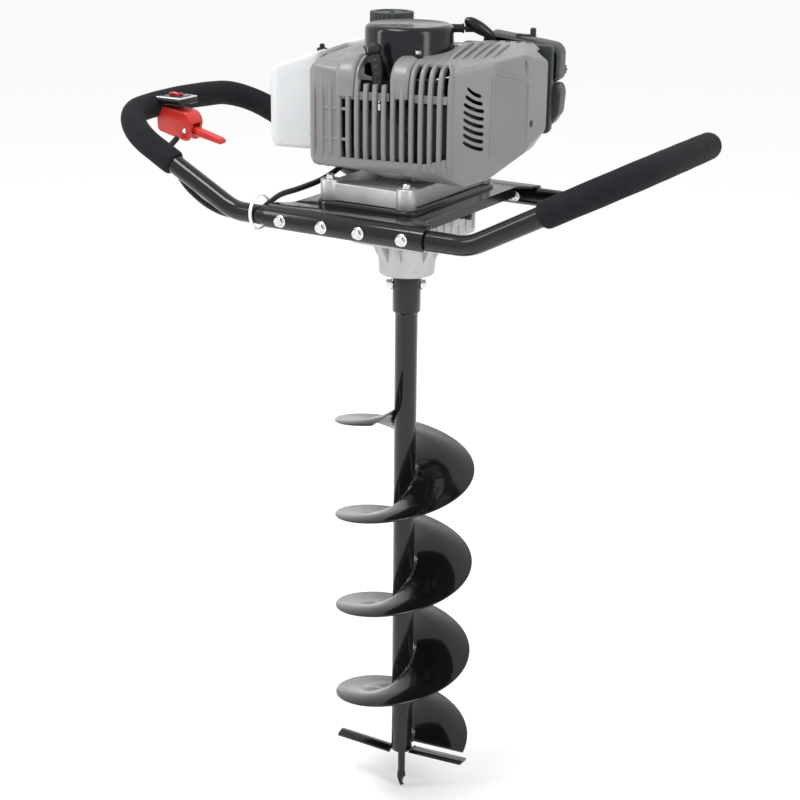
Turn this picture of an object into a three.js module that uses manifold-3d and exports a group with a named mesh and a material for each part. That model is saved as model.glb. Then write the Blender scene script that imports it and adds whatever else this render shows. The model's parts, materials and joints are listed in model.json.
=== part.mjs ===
// Powered one-person ice and earth auger: petrol engine, reduction gearbox, two loop handles and a
// 200 mm spiral auger. Millimetres, +Z up. The origin is on the drive axis, level with the centres of
// the horizontal handle tubes. +X points along the handles to the operator's right, -Y to the front.
import * as THREE from 'three';
import { mergeVertices } from 'three/addons/utils/BufferGeometryUtils.js';
import Module from 'manifold-3d';

const wasm = await Module();
wasm.setup();

// ---------------------------------------------------------------- driving dimensions
const GAP = 0.3;                 // clearance left between pieces that touch
const TAU = 2 * Math.PI;
const HOLE_REACH = 400;          // length of a cutter that goes right through a piece

// auger
const AUGER_RADIUS = 100;
const AUGER_PITCH = 145.6;
const AUGER_BOTTOM = -844;
const AUGER_TUBE = { outer: 15.8, inner: 13.2 };
const COLLAR = { outer: 19.5, inner: 12.4, top: -96, bottom: -147 };
const FLIGHT = { inner: 16.1, thickness: 3, startAngle: 0.15, endAngle: 23.63, phase: 2.029, phaseZ: -783.7 };
const PILOT = { tip: -912, shank: 5.5, width: 15, thickness: 4.6, length: 27 };
const DRIVE_PIN = { radius: 4, hole: 4.3, head: 6.8, from: -28, to: 27 };
const PIN_LEVEL = -109;
const CORD_TURN = THREE.MathUtils.degToRad(31);   // where the starter cord leaves; the cross pin at rest

// handles and frame
const TUBE_RADIUS = 13;
const TUBE_WALL = 1.8;
const GRIP_RADIUS = 17.5;
const GRIP_SPAN = { from: 0.268, to: 0.732 };   // share of the tube's length
const LEG_Y = 150;
const HANDLE = { inner: 12, kneeX: 178, cornerX: 314, endX: 383, slope: 0.523, corner: 70, bow: 5 };
const BOLT_X = [-92, -28, 28, 92];
const BOLT = { hole: 4.4, shank: 4, flange: 8, head: 6.5, height: 6.5, reach: 26 };
const CHANNEL = { halfLength: 120, outer: 16.6, inner: 13.4 };
const PLATE = { bottom: 13.6, top: 16.6, halfWidth: 100, flareY: 128 };
const PLATFORM = { halfX: 77, halfY: 115, top: 21.4 };
const FRAME_HOLE = { halfX: 61, front: -68, rear: 103 };

// gearbox
const GEAR = { module: 1.5, big: 51, small: 9 };
const SHAFT_SPACING = GEAR.module * (GEAR.big + GEAR.small) / 2;
const LEVEL_A = { bottom: 4, top: 14 };
const LEVEL_B = { bottom: -16, top: -4 };
const HOUSING = { halfX: 58, front: -62, rear: 98, bottom: -45, top: 21.4, wall: 5 };
const BOSS = { bottom: -92, radius: 38, topRadius: 41 };
const CAVITY_RADIUS = 43.5;
const BEARING = { outer: 23.6, inner: 12.6, bottom: -79.7, top: -66 };
const COVER_SCREW = { hole: 3.4, shank: 3, head: 5, height: 5.5, socket: 2.9 };
const COVER = { halfX: 64, halfY: 106, bottom: 21.8, top: 45, bossRadius: 13, bossX: 58, bossY: 100 };

// engine
const ENGINE_TURN = THREE.MathUtils.degToRad(13);
const CLUTCH = { bottom: 50, top: 64, radius: 60 };
const CRANKCASE = { bottom: 64.5, top: 144, half: 45 };
const CYLINDER_Z = 105;
const BORE = 44;
const STROKE = 32;
const CRANK_WEB = 29;
const FLYWHEEL = { radius: 50, hub: 14, bore: 6.3, bottom: 149, disc: 156, top: 168, blades: 12 };
const CYLINDER = { radius: 29, head: 96, fins: 6, finPitch: 7, finHalfWidth: 38 };
const PLUG_BORE = 5.4;
const CROWN_Y = -80;              // piston crown at the top of its stroke
const PISTON = { length: 18, wall: 3, pinFromCrown: 9 };
const PLUG = { x: -12, y: -88 };
const BOOT = { head: [-24.5, -70, 222], bottom: 157, radius: 9 };
const MUFFLER = { bottom: 68, top: 148, wall: 2.5, tail: [74, -48] };
const STARTER = { radius: 59, bottom: 178, top: 242, wall: 3, guideEnd: 72 };
const CORD_LEVEL = 234;
const CORD_OFFSET = 22;
const PULL_GRIP = { x: 93, tilt: -60, neck: 20 };
const PULLEY = { radius: 24, groove: 19.5, half: 4.5 };
const SHROUD_WALL = 3;
const FIN = { first: -98, pitch: 12.2, gap: 6.4, firstGap: 3, lastGap: 14 };
const LOUVRE = { count: 8, pitch: 9.6, lowest: 101, x: 111, y: -77, length: 40, height: 4 };
const TANK_WALL = 2.5;
const TANK_NECK = { x: -54, y: 88, radius: 22, top: 223 };
const CAP = { radius: 30, bottom: 219.5, top: 247 };
const LID_SCREW = { x: 173, z: 175 };
const CHOKE = { x: 124, y: 92, level: 221.2, stubX: 143 };

// controls
const CONDUIT_RADIUS = 3.6;
const TRIGGER_PLANE = { front: -55, rear: -43 };
const SWITCH = { left: -374, right: -330, front: -70, rear: -28, bottom: 112.6, top: 124 };
const ROCKER = { left: -360, right: -344, front: -56, rear: -44, bottom: 124.3, top: 128 };
const CABLE_TIE = { outer: 23.4, inner: 21.6, half: 4, centre: [-141, -143.5, 2] };

// ---------------------------------------------------------------- materials
function material(color, roughness, metalness = 0) {
  return new THREE.MeshStandardMaterial({ color, roughness, metalness });
}
const paint = () => material(0x101214, 0.25, 0.3);
const foam = () => material(0x17191c, 0.9);
const zinc = () => material(0xc9ccd0, 0.3, 0.9);
const castAluminium = () => material(0xb9bcbc, 0.5, 0.8);
const steel = () => material(0x8d9094, 0.35, 1);
const greyPlastic = () => material(0x8d8c8a, 0.45);
const blackPlastic = () => material(0x141518, 0.3);
const darkPlastic = () => material(0x2c2f31, 0.5);
const rubber = () => material(0x0c0c0d, 0.7);
const whitePlastic = () => material(0xe9ebec, 0.35);
const redPlastic = () => material(0xc2201c, 0.35);

// ---------------------------------------------------------------- solid helpers
function solid(geometry) {
  const bare = geometry.clone();
  bare.deleteAttribute('normal');
  bare.deleteAttribute('uv');
  const merged = mergeVertices(bare, 1e-4);
  const index = merged.index.array;
  const triangles = [];
  for (let i = 0; i < index.length; i += 3) {
    const [a, b, c] = [index[i], index[i + 1], index[i + 2]];
    if (a !== b && b !== c && c !== a) triangles.push(a, b, c);
  }
  return new wasm.Manifold(new wasm.Mesh({
    numProp: 3,
    vertProperties: merged.attributes.position.array,
    triVerts: Uint32Array.from(triangles),
  }));
}

function geometryOf(body) {
  const mesh = body.getMesh();
  const geometry = new THREE.BufferGeometry();
  geometry.setAttribute('position', new THREE.BufferAttribute(mesh.vertProperties, 3));
  geometry.setIndex(new THREE.BufferAttribute(mesh.triVerts, 1));
  geometry.computeVertexNormals();
  return geometry;
}

const join = (...bodies) => bodies.reduce((whole, body) => whole.add(body));
const cut = (body, ...cutters) => cutters.reduce((rest, cutter) => rest.subtract(cutter), body);

// Box between two corners.
function box(low, high) {
  const size = high.map((value, axis) => value - low[axis]);
  const geometry = new THREE.BoxGeometry(...size);
  geometry.translate(...high.map((value, axis) => (value + low[axis]) / 2));
  return solid(geometry);
}

// Body of revolution about Z from [radius, z] pairs, which start and end on the axis or close.
function turned(profile, sides = 20) {
  const points = profile.map(([radius, z]) => new THREE.Vector2(radius, z));
  const geometry = new THREE.LatheGeometry(points, sides);
  geometry.rotateX(Math.PI / 2);
  return solid(geometry);
}

const rod = (radius, bottom, top, sides = 16) =>
  turned([[0, bottom], [radius, bottom], [radius, top], [0, top]], sides);

function ring(outer, inner, bottom, top, sides = 24) {
  const profile = [[inner, bottom], [outer, bottom], [outer, top], [inner, top], [inner, bottom]];
  return turned(profile, sides);
}

// Rod of any direction, from its centre, along a unit axis.
function rodAlong(axis, radius, from, to, origin = [0, 0, 0], sides = 12) {
  const geometry = new THREE.CylinderGeometry(radius, radius, to - from, sides);
  geometry.translate(0, (to + from) / 2, 0);
  const turn = new THREE.Quaternion().setFromUnitVectors(
    new THREE.Vector3(0, 1, 0), new THREE.Vector3(...axis).normalize());
  geometry.applyQuaternion(turn);
  geometry.translate(...origin);
  return solid(geometry);
}

// Outline in a plane, extruded. `plane` says which axis the extrusion runs along.
function prism(outline, from, to, plane = 'z') {
  const shape = outline instanceof THREE.Shape
    ? outline : new THREE.Shape(outline.map(([x, y]) => new THREE.Vector2(x, y)));
  const geometry = new THREE.ExtrudeGeometry(shape, {
    depth: to - from, bevelEnabled: false, curveSegments: 3,
  });
  geometry.translate(0, 0, from);
  if (plane === 'y') {
    geometry.rotateX(Math.PI / 2);
    geometry.translate(0, from + to, 0);
  }
  if (plane === 'x') {
    geometry.rotateX(Math.PI / 2);
    geometry.rotateZ(Math.PI / 2);
  }
  return solid(geometry);
}

function roundedRectangle(left, right, front, rear, radius) {
  const shape = new THREE.Shape();
  shape.absarc(right - radius, front + radius, radius, -Math.PI / 2, 0);
  shape.absarc(right - radius, rear - radius, radius, 0, Math.PI / 2);
  shape.absarc(left + radius, rear - radius, radius, Math.PI / 2, Math.PI);
  shape.absarc(left + radius, front + radius, radius, Math.PI, Math.PI * 1.5);
  return shape;
}

// Round bar or tube along a curve.
function swept(curve, steps, outer, inner, sides) {
  const shape = new THREE.Shape();
  const hole = new THREE.Path();
  for (let i = 0; i <= sides; i += 1) {
    const angle = i / sides * TAU;
    const step = i === 0 ? 'moveTo' : 'lineTo';
    shape[step](outer * Math.cos(angle), outer * Math.sin(angle));
    if (inner) hole[step](inner * Math.cos(angle), inner * Math.sin(angle));
  }
  if (inner) shape.holes.push(hole);
  return solid(new THREE.ExtrudeGeometry(shape, { steps, extrudePath: curve, bevelEnabled: false }));
}

const root = new THREE.Group();
const engine = new THREE.Group();
engine.rotation.z = ENGINE_TURN;
root.add(engine);

function place(name, body, finish, parent = root) {
  const mesh = new THREE.Mesh(geometryOf(body), finish);
  mesh.name = name;
  parent.add(mesh);
  return mesh;
}

// ---------------------------------------------------------------- auger
function augerFlight() {
  const steps = 64;
  const length = FLIGHT.endAngle - FLIGHT.startAngle;
  const geometry = new THREE.BoxGeometry(1, 1, 1, 1, 1, steps);
  const position = geometry.attributes.position;
  for (let i = 0; i < position.count; i += 1) {
    const radius = position.getX(i) > 0 ? AUGER_RADIUS : FLIGHT.inner;
    const angle = FLIGHT.startAngle + (position.getZ(i) + 0.5) * length;
    const lift = FLIGHT.phaseZ + AUGER_PITCH * (angle - FLIGHT.phase) / TAU;
    position.setXYZ(i, radius * Math.cos(angle), radius * Math.sin(angle),
      lift - position.getY(i) * FLIGHT.thickness);
  }
  return solid(geometry);
}

function augerTube() {
  const tube = ring(AUGER_TUBE.outer, AUGER_TUBE.inner, AUGER_BOTTOM, COLLAR.bottom + 1, 24);
  const sleeve = ring(COLLAR.outer, COLLAR.inner, COLLAR.bottom, COLLAR.top, 24);
  const pinHole = rodAlong([1, 0, 0], DRIVE_PIN.hole, -30, 30, [0, 0, PIN_LEVEL]);
  return cut(join(tube, sleeve), pinHole);
}

// Flat cutter bar on one side of the tube. The leading edge is the lower one.
function cutterBar(outerRadius, width) {
  const bar = box([16.4, -width / 2, -2], [outerRadius, width / 2, 2]);
  const bevel = box([10, -width / 2 - 6, -9], [outerRadius + 6, -width / 2 + 6, -1.4]).rotate(28, 0, 0);
  return cut(bar, bevel);
}

function pilotPoint() {
  const { tip, width, thickness, length } = PILOT;
  const shank = rod(PILOT.shank, tip + length - 4, AUGER_BOTTOM - GAP, 12);
  const spade = new THREE.BoxGeometry(width, thickness, length, 1, 1, 10);
  const position = spade.attributes.position;
  for (let i = 0; i < position.count; i += 1) {
    const along = 0.5 - position.getZ(i) / length;
    const taper = along > 0.75 ? (1 - along) / 0.25 * 0.9 + 0.1 : 0.75 + along / 3;
    const twist = along * Math.PI;
    const [x, y] = [position.getX(i) * taper, position.getY(i)];
    position.setXYZ(i, x * Math.cos(twist) - y * Math.sin(twist),
      x * Math.sin(twist) + y * Math.cos(twist), position.getZ(i) + tip + length / 2);
  }
  return join(shank, solid(spade));
}

function drivePin() {
  const centre = [0, 0, PIN_LEVEL];
  const { radius, head, from, to } = DRIVE_PIN;
  return join(
    rodAlong([1, 0, 0], radius, from + 4, to, centre, 12),
    rodAlong([1, 0, 0], head, from, from + 7, centre, 6),
    rodAlong([1, 0, 0], head, to - 6.5, to - 1, centre, 6));
}

function buildAuger() {
  const auger = new THREE.Group();
  auger.rotation.z = CORD_TURN;
  root.add(auger);
  place('auger_tube', augerTube(), paint(), auger);
  place('drive_pin', drivePin(), zinc(), auger);
  place('auger_flight', augerFlight(), paint());
  place('pilot_point', pilotPoint(), paint());
  const right = place('cutter_right', cutterBar(101, 27), paint());
  right.rotation.set(THREE.MathUtils.degToRad(-14), 0, THREE.MathUtils.degToRad(8), 'ZYX');
  right.position.z = -843;
  const left = place('cutter_left', cutterBar(104, 19), paint());
  left.rotation.set(THREE.MathUtils.degToRad(-10), THREE.MathUtils.degToRad(-5),
    THREE.MathUtils.degToRad(188), 'ZYX');
  left.position.z = -850;
}

// ---------------------------------------------------------------- frame and handles
function handleCurve(side) {
  const rise = (x) => Math.max(0, x - HANDLE.kneeX) * HANDLE.slope;
  const plan = [];
  const along = [HANDLE.inner, 60, 115, 160, HANDLE.kneeX, 196, 236, 276, HANDLE.cornerX];
  along.forEach((x) => plan.push([x, -LEG_Y]));
  for (const angle of [22.5, 45, 67.5]) {
    const turn = THREE.MathUtils.degToRad(angle);
    plan.push([HANDLE.cornerX + HANDLE.corner * Math.sin(turn),
      -LEG_Y + HANDLE.corner * (1 - Math.cos(turn))]);
  }
  plan.push([HANDLE.endX + 1, -LEG_Y + HANDLE.corner + 6], [HANDLE.endX + HANDLE.bow, 0]);
  const mirrored = plan.slice(0, -1).reverse().map(([x, y]) => [x, -y]);
  const points = [...plan, ...mirrored].map(([x, y]) => new THREE.Vector3(side * x, y, rise(x)));
  return new THREE.CatmullRomCurve3(points, false, 'centripetal');
}

class CurvePart extends THREE.Curve {
  constructor(curve, from, to) {
    super();
    this.curve = curve;
    this.from = from;
    this.to = to;
  }

  getPoint(t, target) {
    return this.curve.getPointAt(this.from + (this.to - this.from) * t, target);
  }
}

function boltHoles() {
  const holes = [];
  for (const x of BOLT_X) {
    for (const side of [-1, 1]) {
      const y = side * LEG_Y;
      holes.push(rodAlong([0, 1, 0], BOLT.hole, y - 25, y + 25, [x, 0, 0], 8));
    }
  }
  return holes;
}

function handleTube(side) {
  const tube = swept(handleCurve(side), 32, TUBE_RADIUS, TUBE_RADIUS - TUBE_WALL, 8);
  return cut(tube, ...boltHoles());
}

const gripCurve = (side) => new CurvePart(handleCurve(side), GRIP_SPAN.from, GRIP_SPAN.to);

// The bore is widened so that its flats clear the tube's corners.
function grip(side) {
  const bore = (TUBE_RADIUS + 3 * GAP) / Math.cos(Math.PI / 8);
  return swept(gripCurve(side), 20, GRIP_RADIUS, bore, 8);
}

function channel(side) {
  const { outer, inner, halfLength } = CHANNEL;
  const axisY = side * LEG_Y;
  const shell = rodAlong([1, 0, 0], outer, -halfLength, halfLength, [0, axisY, 0], 20);
  const bore = rodAlong([1, 0, 0], inner, -HOLE_REACH, HOLE_REACH, [0, axisY, 0], 20);
  const open = box([-HOLE_REACH, Math.min(0, axisY), -30], [HOLE_REACH, Math.max(0, axisY), 13]);
  const below = box([-HOLE_REACH, -HOLE_REACH, -30], [HOLE_REACH, HOLE_REACH, -12.5]);
  return cut(shell, bore, open, below);
}

function framePlate() {
  const { halfWidth, flareY } = PLATE;
  const wide = CHANNEL.halfLength;
  const outline = [
    [-wide, -LEG_Y], [wide, -LEG_Y], [wide, -LEG_Y + 12], [halfWidth, -flareY], [halfWidth, flareY],
    [wide, LEG_Y - 12], [wide, LEG_Y], [-wide, LEG_Y], [-wide, LEG_Y - 12], [-halfWidth, flareY],
    [-halfWidth, -flareY], [-wide, -LEG_Y + 12],
  ];
  const sheet = prism(outline, PLATE.bottom, PLATE.top);
  const { halfX, halfY, top } = PLATFORM;
  const platform = prism(roundedRectangle(-halfX, halfX, -halfY, halfY, 16), PLATE.bottom, top);
  const under = prism(roundedRectangle(3 - halfX, halfX - 3, 3 - halfY, halfY - 3, 14), 0, top - 3);
  const opening = prism(roundedRectangle(-FRAME_HOLE.halfX, FRAME_HOLE.halfX, FRAME_HOLE.front,
    FRAME_HOLE.rear, 10), -30, 30);
  return cut(join(sheet, channel(-1), channel(1), platform), under, opening, ...boltHoles());
}

function handleBolt(x, side) {
  const outward = [0, side, 0];
  const centre = [x, side * LEG_Y, 0];
  const seat = CHANNEL.outer + GAP;
  return join(
    rodAlong(outward, BOLT.shank, -BOLT.reach, seat + 5, centre, 8),
    rodAlong(outward, BOLT.flange, seat, seat + 1.6, centre, 12),
    rodAlong(outward, BOLT.head, seat + 1, seat + BOLT.height, centre, 6));
}

function buildFrame() {
  place('frame_plate', framePlate(), paint());
  for (const [side, name] of [[-1, 'left'], [1, 'right']]) {
    place(`handle_tube_${name}`, handleTube(side), paint());
    place(`grip_${name}`, grip(side), foam());
  }
  for (const [side, name] of [[-1, 'front'], [1, 'rear']]) {
    BOLT_X.forEach((x, i) => place(`handle_bolt_${name}_${i + 1}`, handleBolt(x, side), zinc()));
  }
}

// ---------------------------------------------------------------- gearbox
// Stub-toothed spur gear with its first tooth, or its first gap, on +X.
function gearBody(teeth, bottom, top, bore, gapFirst, turnDegrees = 0) {
  const pitch = GEAR.module * teeth / 2;
  const tip = pitch + GEAR.module * 0.8;
  const foot = pitch - GEAR.module * 1.05;
  const tooth = TAU / teeth;
  const start = (gapFirst ? tooth / 2 : 0) + THREE.MathUtils.degToRad(turnDegrees);
  const outline = [];
  for (let i = 0; i < teeth; i += 1) {
    const centre = start + i * tooth;
    for (const [radius, share] of [[foot, -0.33], [tip, -0.12], [tip, 0.12], [foot, 0.33]]) {
      const angle = centre + share * tooth;
      outline.push([radius * Math.cos(angle), radius * Math.sin(angle)]);
    }
  }
  const body = prism(outline, bottom, top);
  return bore ? cut(body, rod(bore, bottom - 1, top + 1, 20)) : body;
}

function gearboxHousing() {
  const { halfX, front, rear, bottom, top, wall } = HOUSING;
  const body = prism(roundedRectangle(-halfX, halfX, front, rear, 16), bottom, top);
  const boss = turned([[0, BOSS.bottom], [BOSS.radius, BOSS.bottom], [BOSS.topRadius, bottom + 1],
    [0, bottom + 1]], 28);
  const ribs = [20, 75, 105, 160, 200, 255, 285, 340].map((angle) => {
    const gusset = prism([[BOSS.radius - 4, -82], [54, bottom + 1], [30, bottom + 1]], -3, 3, 'y');
    return gusset.rotate(0, 0, angle);
  });
  const webs = [-40, -20, 0, 20, 40, 60, 80].map((y) =>
    box([halfX - 1, y - 2, bottom + 6], [halfX + 2.4, y + 2, top - 8]));
  const cavity = join(
    rod(CAVITY_RADIUS, bottom + wall + 1, top + 1, 24),
    rod(CAVITY_RADIUS, bottom + wall + 1, top + 1, 24).translate(0, SHAFT_SPACING, 0),
    box([-CAVITY_RADIUS, 0, bottom + wall + 1], [CAVITY_RADIUS, SHAFT_SPACING, top + 1]));
  const shaftHole = rod(13, BOSS.bottom - 1, bottom + wall + 2);
  const bearingPocket = rod(BEARING.outer + 0.8, BEARING.bottom - GAP, bottom + wall + 2, 20);
  const pivot = rod(5.1, bottom + 2, bottom + wall + 2, 16).translate(0, SHAFT_SPACING, 0);
  return cut(join(body, boss, ...ribs, ...webs), cavity, shaftHole, bearingPocket, pivot);
}

function gearboxCover() {
  const { halfX, halfY, bottom, top, bossX, bossY, bossRadius } = COVER;
  let body = prism(roundedRectangle(-halfX, halfX, -halfY, halfY, 12), bottom, top);
  const hollow = prism(roundedRectangle(6 - halfX, halfX - 6, 12 - halfY, halfY - 12, 6),
    bottom - 1, top - 5);
  body = cut(body, hollow);
  const supports = join(rod(20, bottom, top - 1), rod(14, bottom, top - 1).translate(0, SHAFT_SPACING, 0));
  body = join(body, supports);
  for (const x of [-bossX, bossX]) {
    for (const y of [-bossY, bossY]) {
      body = body.add(rod(bossRadius, bottom, top + 4).translate(x, y, 0));
      body = cut(body, rod(COVER_SCREW.hole, bottom - 1, top + 5, 12).translate(x, y, 0));
    }
  }
  const shaftHole = rod(8.4, bottom - 1, top + 1);
  const pivot = rod(5.1, bottom - 1, bottom + 6, 16).translate(0, SHAFT_SPACING, 0);
  return cut(body, shaftHole, pivot);
}

function coverScrew() {
  const { shank, head, height, socket } = COVER_SCREW;
  const seat = COVER.top + 4 + GAP;
  const stem = rod(shank, COVER.bottom + 2, seat + 1, 8);
  return cut(join(stem, rod(head, seat, seat + height, 14)), rod(socket, seat + 2, seat + height + 1, 6));
}

function buildGearbox() {
  place('gearbox_housing', gearboxHousing(), castAluminium());
  place('gearbox_cover', gearboxCover(), castAluminium());
  let number = 1;
  for (const x of [-COVER.bossX, COVER.bossX]) {
    for (const y of [-COVER.bossY, COVER.bossY]) {
      place(`cover_screw_${number}`, coverScrew().translate(x, y, 0), zinc());
      number += 1;
    }
  }
  place('output_bearing', ring(BEARING.outer, BEARING.inner, BEARING.bottom, BEARING.top, 20), steel());
  place('output_shaft', turned([[0, -131], [12, -131], [12, -30], [10, -30], [10, -2.5], [0, -2.5]], 18)
    .subtract(rodAlong([Math.cos(CORD_TURN), Math.sin(CORD_TURN), 0], DRIVE_PIN.hole, -30, 30,
      [0, 0, PIN_LEVEL])), steel());
  place('output_gear', gearBody(GEAR.big, LEVEL_B.bottom, LEVEL_B.top, 10.3, false, 90), steel());
  const layshaft = join(
    rod(4.7, HOUSING.bottom + 3, COVER.bottom + 5, 16),
    gearBody(GEAR.small, LEVEL_B.bottom - 1, LEVEL_B.top + 1, 0, true, -90));
  place('intermediate_shaft', layshaft.translate(0, SHAFT_SPACING, 0), steel());
  const wheel = gearBody(GEAR.big, LEVEL_A.bottom, LEVEL_A.top, 5, true, -90);
  place('intermediate_gear', wheel.translate(0, SHAFT_SPACING, 0), steel());
  const input = join(
    gearBody(GEAR.small, LEVEL_A.bottom - 0.5, LEVEL_A.top + 0.5, 0, false, 90),
    turned([[0, LEVEL_A.top], [4.7, LEVEL_A.top], [4.7, 17], [8, 17], [8, 49.6], [5, 49.6],
      [5, 54], [0, 54]]));
  place('input_pinion', input, steel());
}

// ---------------------------------------------------------------- engine
function crankcase() {
  const { bottom, top, half } = CRANKCASE;
  const block = prism(roundedRectangle(-half, half, -half, half, 14), bottom, top);
  const chamber = rod(32, bottom + 9, top - 9, 24);
  const mainBore = rod(8.4, bottom - 1, top + 1);
  const mouth = rodAlong([0, -1, 0], BORE / 2 + 0.5, 20, half + 1, [0, 0, CYLINDER_Z], 18);
  return cut(block, chamber, mainBore, mouth);
}

function crankshaft() {
  const lower = turned([[0, 56], [6, 56], [6, 66], [8, 66], [8, 78], [CRANK_WEB, 78],
    [CRANK_WEB, 96], [0, 96]]);
  const upper = turned([[0, 112], [CRANK_WEB, 112], [CRANK_WEB, 130], [8, 130], [8, 148], [6, 148],
    [6, 172], [0, 172]]);
  const crankpin = rod(7, 95, 113).translate(0, STROKE / 2, 0);
  return join(lower, upper, crankpin);
}

function flywheel() {
  const { radius, hub, bore, bottom, disc, top } = FLYWHEEL;
  const plate = ring(radius, bore, bottom, disc, 28);
  const centre = ring(hub, bore, bottom, top, 16);
  const blades = [];
  for (let i = 0; i < FLYWHEEL.blades; i += 1) {
    blades.push(box([20, -1.2, disc - 1], [radius - 1, 1.2, top]).rotate(0, 0, i * 360 / FLYWHEEL.blades));
  }
  return join(plate, centre, ...blades);
}

function cylinder() {
  const outward = [0, -1, 0];
  const centre = [0, 0, CYLINDER_Z];
  const foot = CRANKCASE.half + GAP;
  const barrel = rodAlong(outward, CYLINDER.radius, foot, CYLINDER.head, centre, 18);
  const fins = [];
  const half = CYLINDER.finHalfWidth;
  for (let i = 0; i < CYLINDER.fins; i += 1) {
    const y = -foot - 9 - i * CYLINDER.finPitch;
    fins.push(box([-half, y - 2, CYLINDER_Z - 30], [half, y, CYLINDER_Z + 34]));
  }
  const flange = box([-34, -foot - 5, CYLINDER_Z - 32], [34, -foot, CYLINDER_Z + 34]);
  const bore = rodAlong(outward, BORE / 2 + 0.5, foot - 1, 1 - CROWN_Y, centre, 18);
  const plugBoss = rod(7.5, CYLINDER_Z + 18, CYLINDER_Z + 38, 12).translate(PLUG.x, PLUG.y, 0);
  const plugHole = rod(PLUG_BORE, CYLINDER_Z + 12, CYLINDER_Z + 40, 10).translate(PLUG.x, PLUG.y, 0);
  return cut(join(barrel, flange, ...fins, plugBoss), bore, plugHole);
}

function piston() {
  const axis = [0, -1, 0];
  const centre = [0, 0, CYLINDER_Z];
  const crown = -CROWN_Y;
  const body = rodAlong(axis, BORE / 2, crown - PISTON.length, crown, centre, 18);
  const hollow = rodAlong(axis, BORE / 2 - PISTON.wall, crown - PISTON.length - 1, crown - 4, centre, 18);
  const pin = rodAlong([1, 0, 0], 4, -20, 20, [0, CROWN_Y + PISTON.pinFromCrown, CYLINDER_Z], 10);
  return join(cut(body, hollow), pin);
}

function sparkPlug() {
  const base = CYLINDER_Z + 38 + GAP;
  return turned([[0, CYLINDER_Z + 14], [4.9, CYLINDER_Z + 14], [4.9, base], [8, base], [8, base + 8],
    [5, base + 9], [4, base + 32], [0, base + 32]], 10).translate(PLUG.x, PLUG.y, 0);
}

function sparkPlugBoot() {
  const base = BOOT.bottom;
  const stem = turned([[PLUG_BORE, base], [8, base], [7.5, base + 26], [0, base + 26], [0, base + 20],
    [PLUG_BORE, base + 20], [PLUG_BORE, base]], 12).translate(PLUG.x, PLUG.y, 0);
  const foot = new THREE.Vector3(PLUG.x, PLUG.y, base + 22);
  const lean = new THREE.Vector3(...BOOT.head).sub(foot);
  return join(stem, rodAlong(lean.toArray(), BOOT.radius, 0, lean.length(), foot.toArray(), 12));
}

function muffler() {
  const outline = [[46, -84], [84, -84], [122, -48], [122, -12], [46, -12]];
  const { bottom, top, wall, tail } = MUFFLER;
  const body = prism(outline, bottom, top);
  const hollow = prism(insetOutline(outline, wall), bottom + wall, top - wall);
  const pipe = rod(6, bottom - 8, bottom + 10, 14).translate(...tail, 0);
  const bore = rod(4.5, bottom - 18, bottom + 22, 12).translate(...tail, 0);
  const inlet = rodAlong([-1, 0, 0], 7, -50, -39.5, [0, -62, CYLINDER_Z], 14);
  return cut(join(body, pipe, inlet), hollow, bore);
}

// The shroud is the body that its plan, its front view and its side view have in common.
const SHROUD_PLAN = [
  [-105, 62], [-106, -60], [-109, -80], [-100, -93], [-84, -97], [-30, -102], [30, -103], [76, -101],
  [91, -95], [132, -60], [164, -4], [180, 50], [176, 62],
];
const SHROUD_FRONT = [
  [-110, 74], [-98, 68], [-20, 65], [20, 64], [44, 56], [100, 50], [128, 58], [160, 84], [176, 108],
  [184, 135], [184, 184], [176, 198], [150, 219], [96, 219], [60, 214], [-60, 214], [-92, 205], [-110, 188],
];
const SHROUD_SIDE = [
  [-82, 50], [62, 50], [62, 219], [20, 215], [-62, 206], [-86, 201], [-99, 192], [-104, 178], [-106, 150],
  [-106, 80], [-98, 62],
];

// Outline moved inwards by a distance, each corner along the mean of its two sides' normals.
function insetOutline(outline, distance) {
  const count = outline.length;
  return outline.map(([x, y], i) => {
    const previous = outline[(i + count - 1) % count];
    const next = outline[(i + 1) % count];
    const before = new THREE.Vector2(x - previous[0], y - previous[1]).normalize();
    const after = new THREE.Vector2(next[0] - x, next[1] - y).normalize();
    const normal = new THREE.Vector2(-before.y - after.y, before.x + after.x).normalize();
    const reach = distance / Math.max(0.5, normal.x * -before.y + normal.y * before.x);
    return [x + normal.x * reach, y + normal.y * reach];
  });
}

function shroudBlock(inset) {
  const outlines = [SHROUD_PLAN, SHROUD_FRONT, SHROUD_SIDE];
  const [plan, front, side] = outlines.map((outline) => insetOutline(outline, inset));
  return prism(plan, 30, 240)
    .intersect(prism(front, -120, 80, 'y'))
    .intersect(prism(side, -130, 200, 'x'));
}

function shroud() {
  const outer = shroudBlock(0);
  const inner = shroudBlock(SHROUD_WALL);
  const openRear = box([-102, 40, 20], [200, 80, 210]);
  const openBelow = box([-102, -64, 20], [170, 80, 78])
    .intersect(prism(insetOutline(SHROUD_PLAN, SHROUD_WALL), 0, 90));
  const body = cut(outer, inner, openRear, openBelow);
  const slots = [];
  for (let i = FIN.firstGap; i <= FIN.lastGap; i += 1) {
    const left = FIN.first + FIN.pitch * (i + 0.5) - FIN.gap / 2;
    const right = left + FIN.gap;
    slots.push(box([left, -130, 81 + Math.max(0, left - 56) * 0.25], [right, -72, 156]));
    slots.push(box([left, -130, 166], [right, -78, 240]));
  }
  const louvres = [];
  for (let i = 0; i < LOUVRE.count; i += 1) {
    const corner = [15, LOUVRE.length / 2, LOUVRE.height / 2];
    const slot = box(corner.map((value) => -value), corner);
    louvres.push(slot.rotate(0, 14, 0).rotate(0, 0, 40)
      .translate(LOUVRE.x, LOUVRE.y, LOUVRE.lowest + i * LOUVRE.pitch));
  }
  const bootNotch = box([-36, -130, 176], [8, -57, 240]);
  return cut(body, ...slots, ...louvres, rod(STARTER.radius + 1.2, 160, 240, 32), bootNotch);
}

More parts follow.
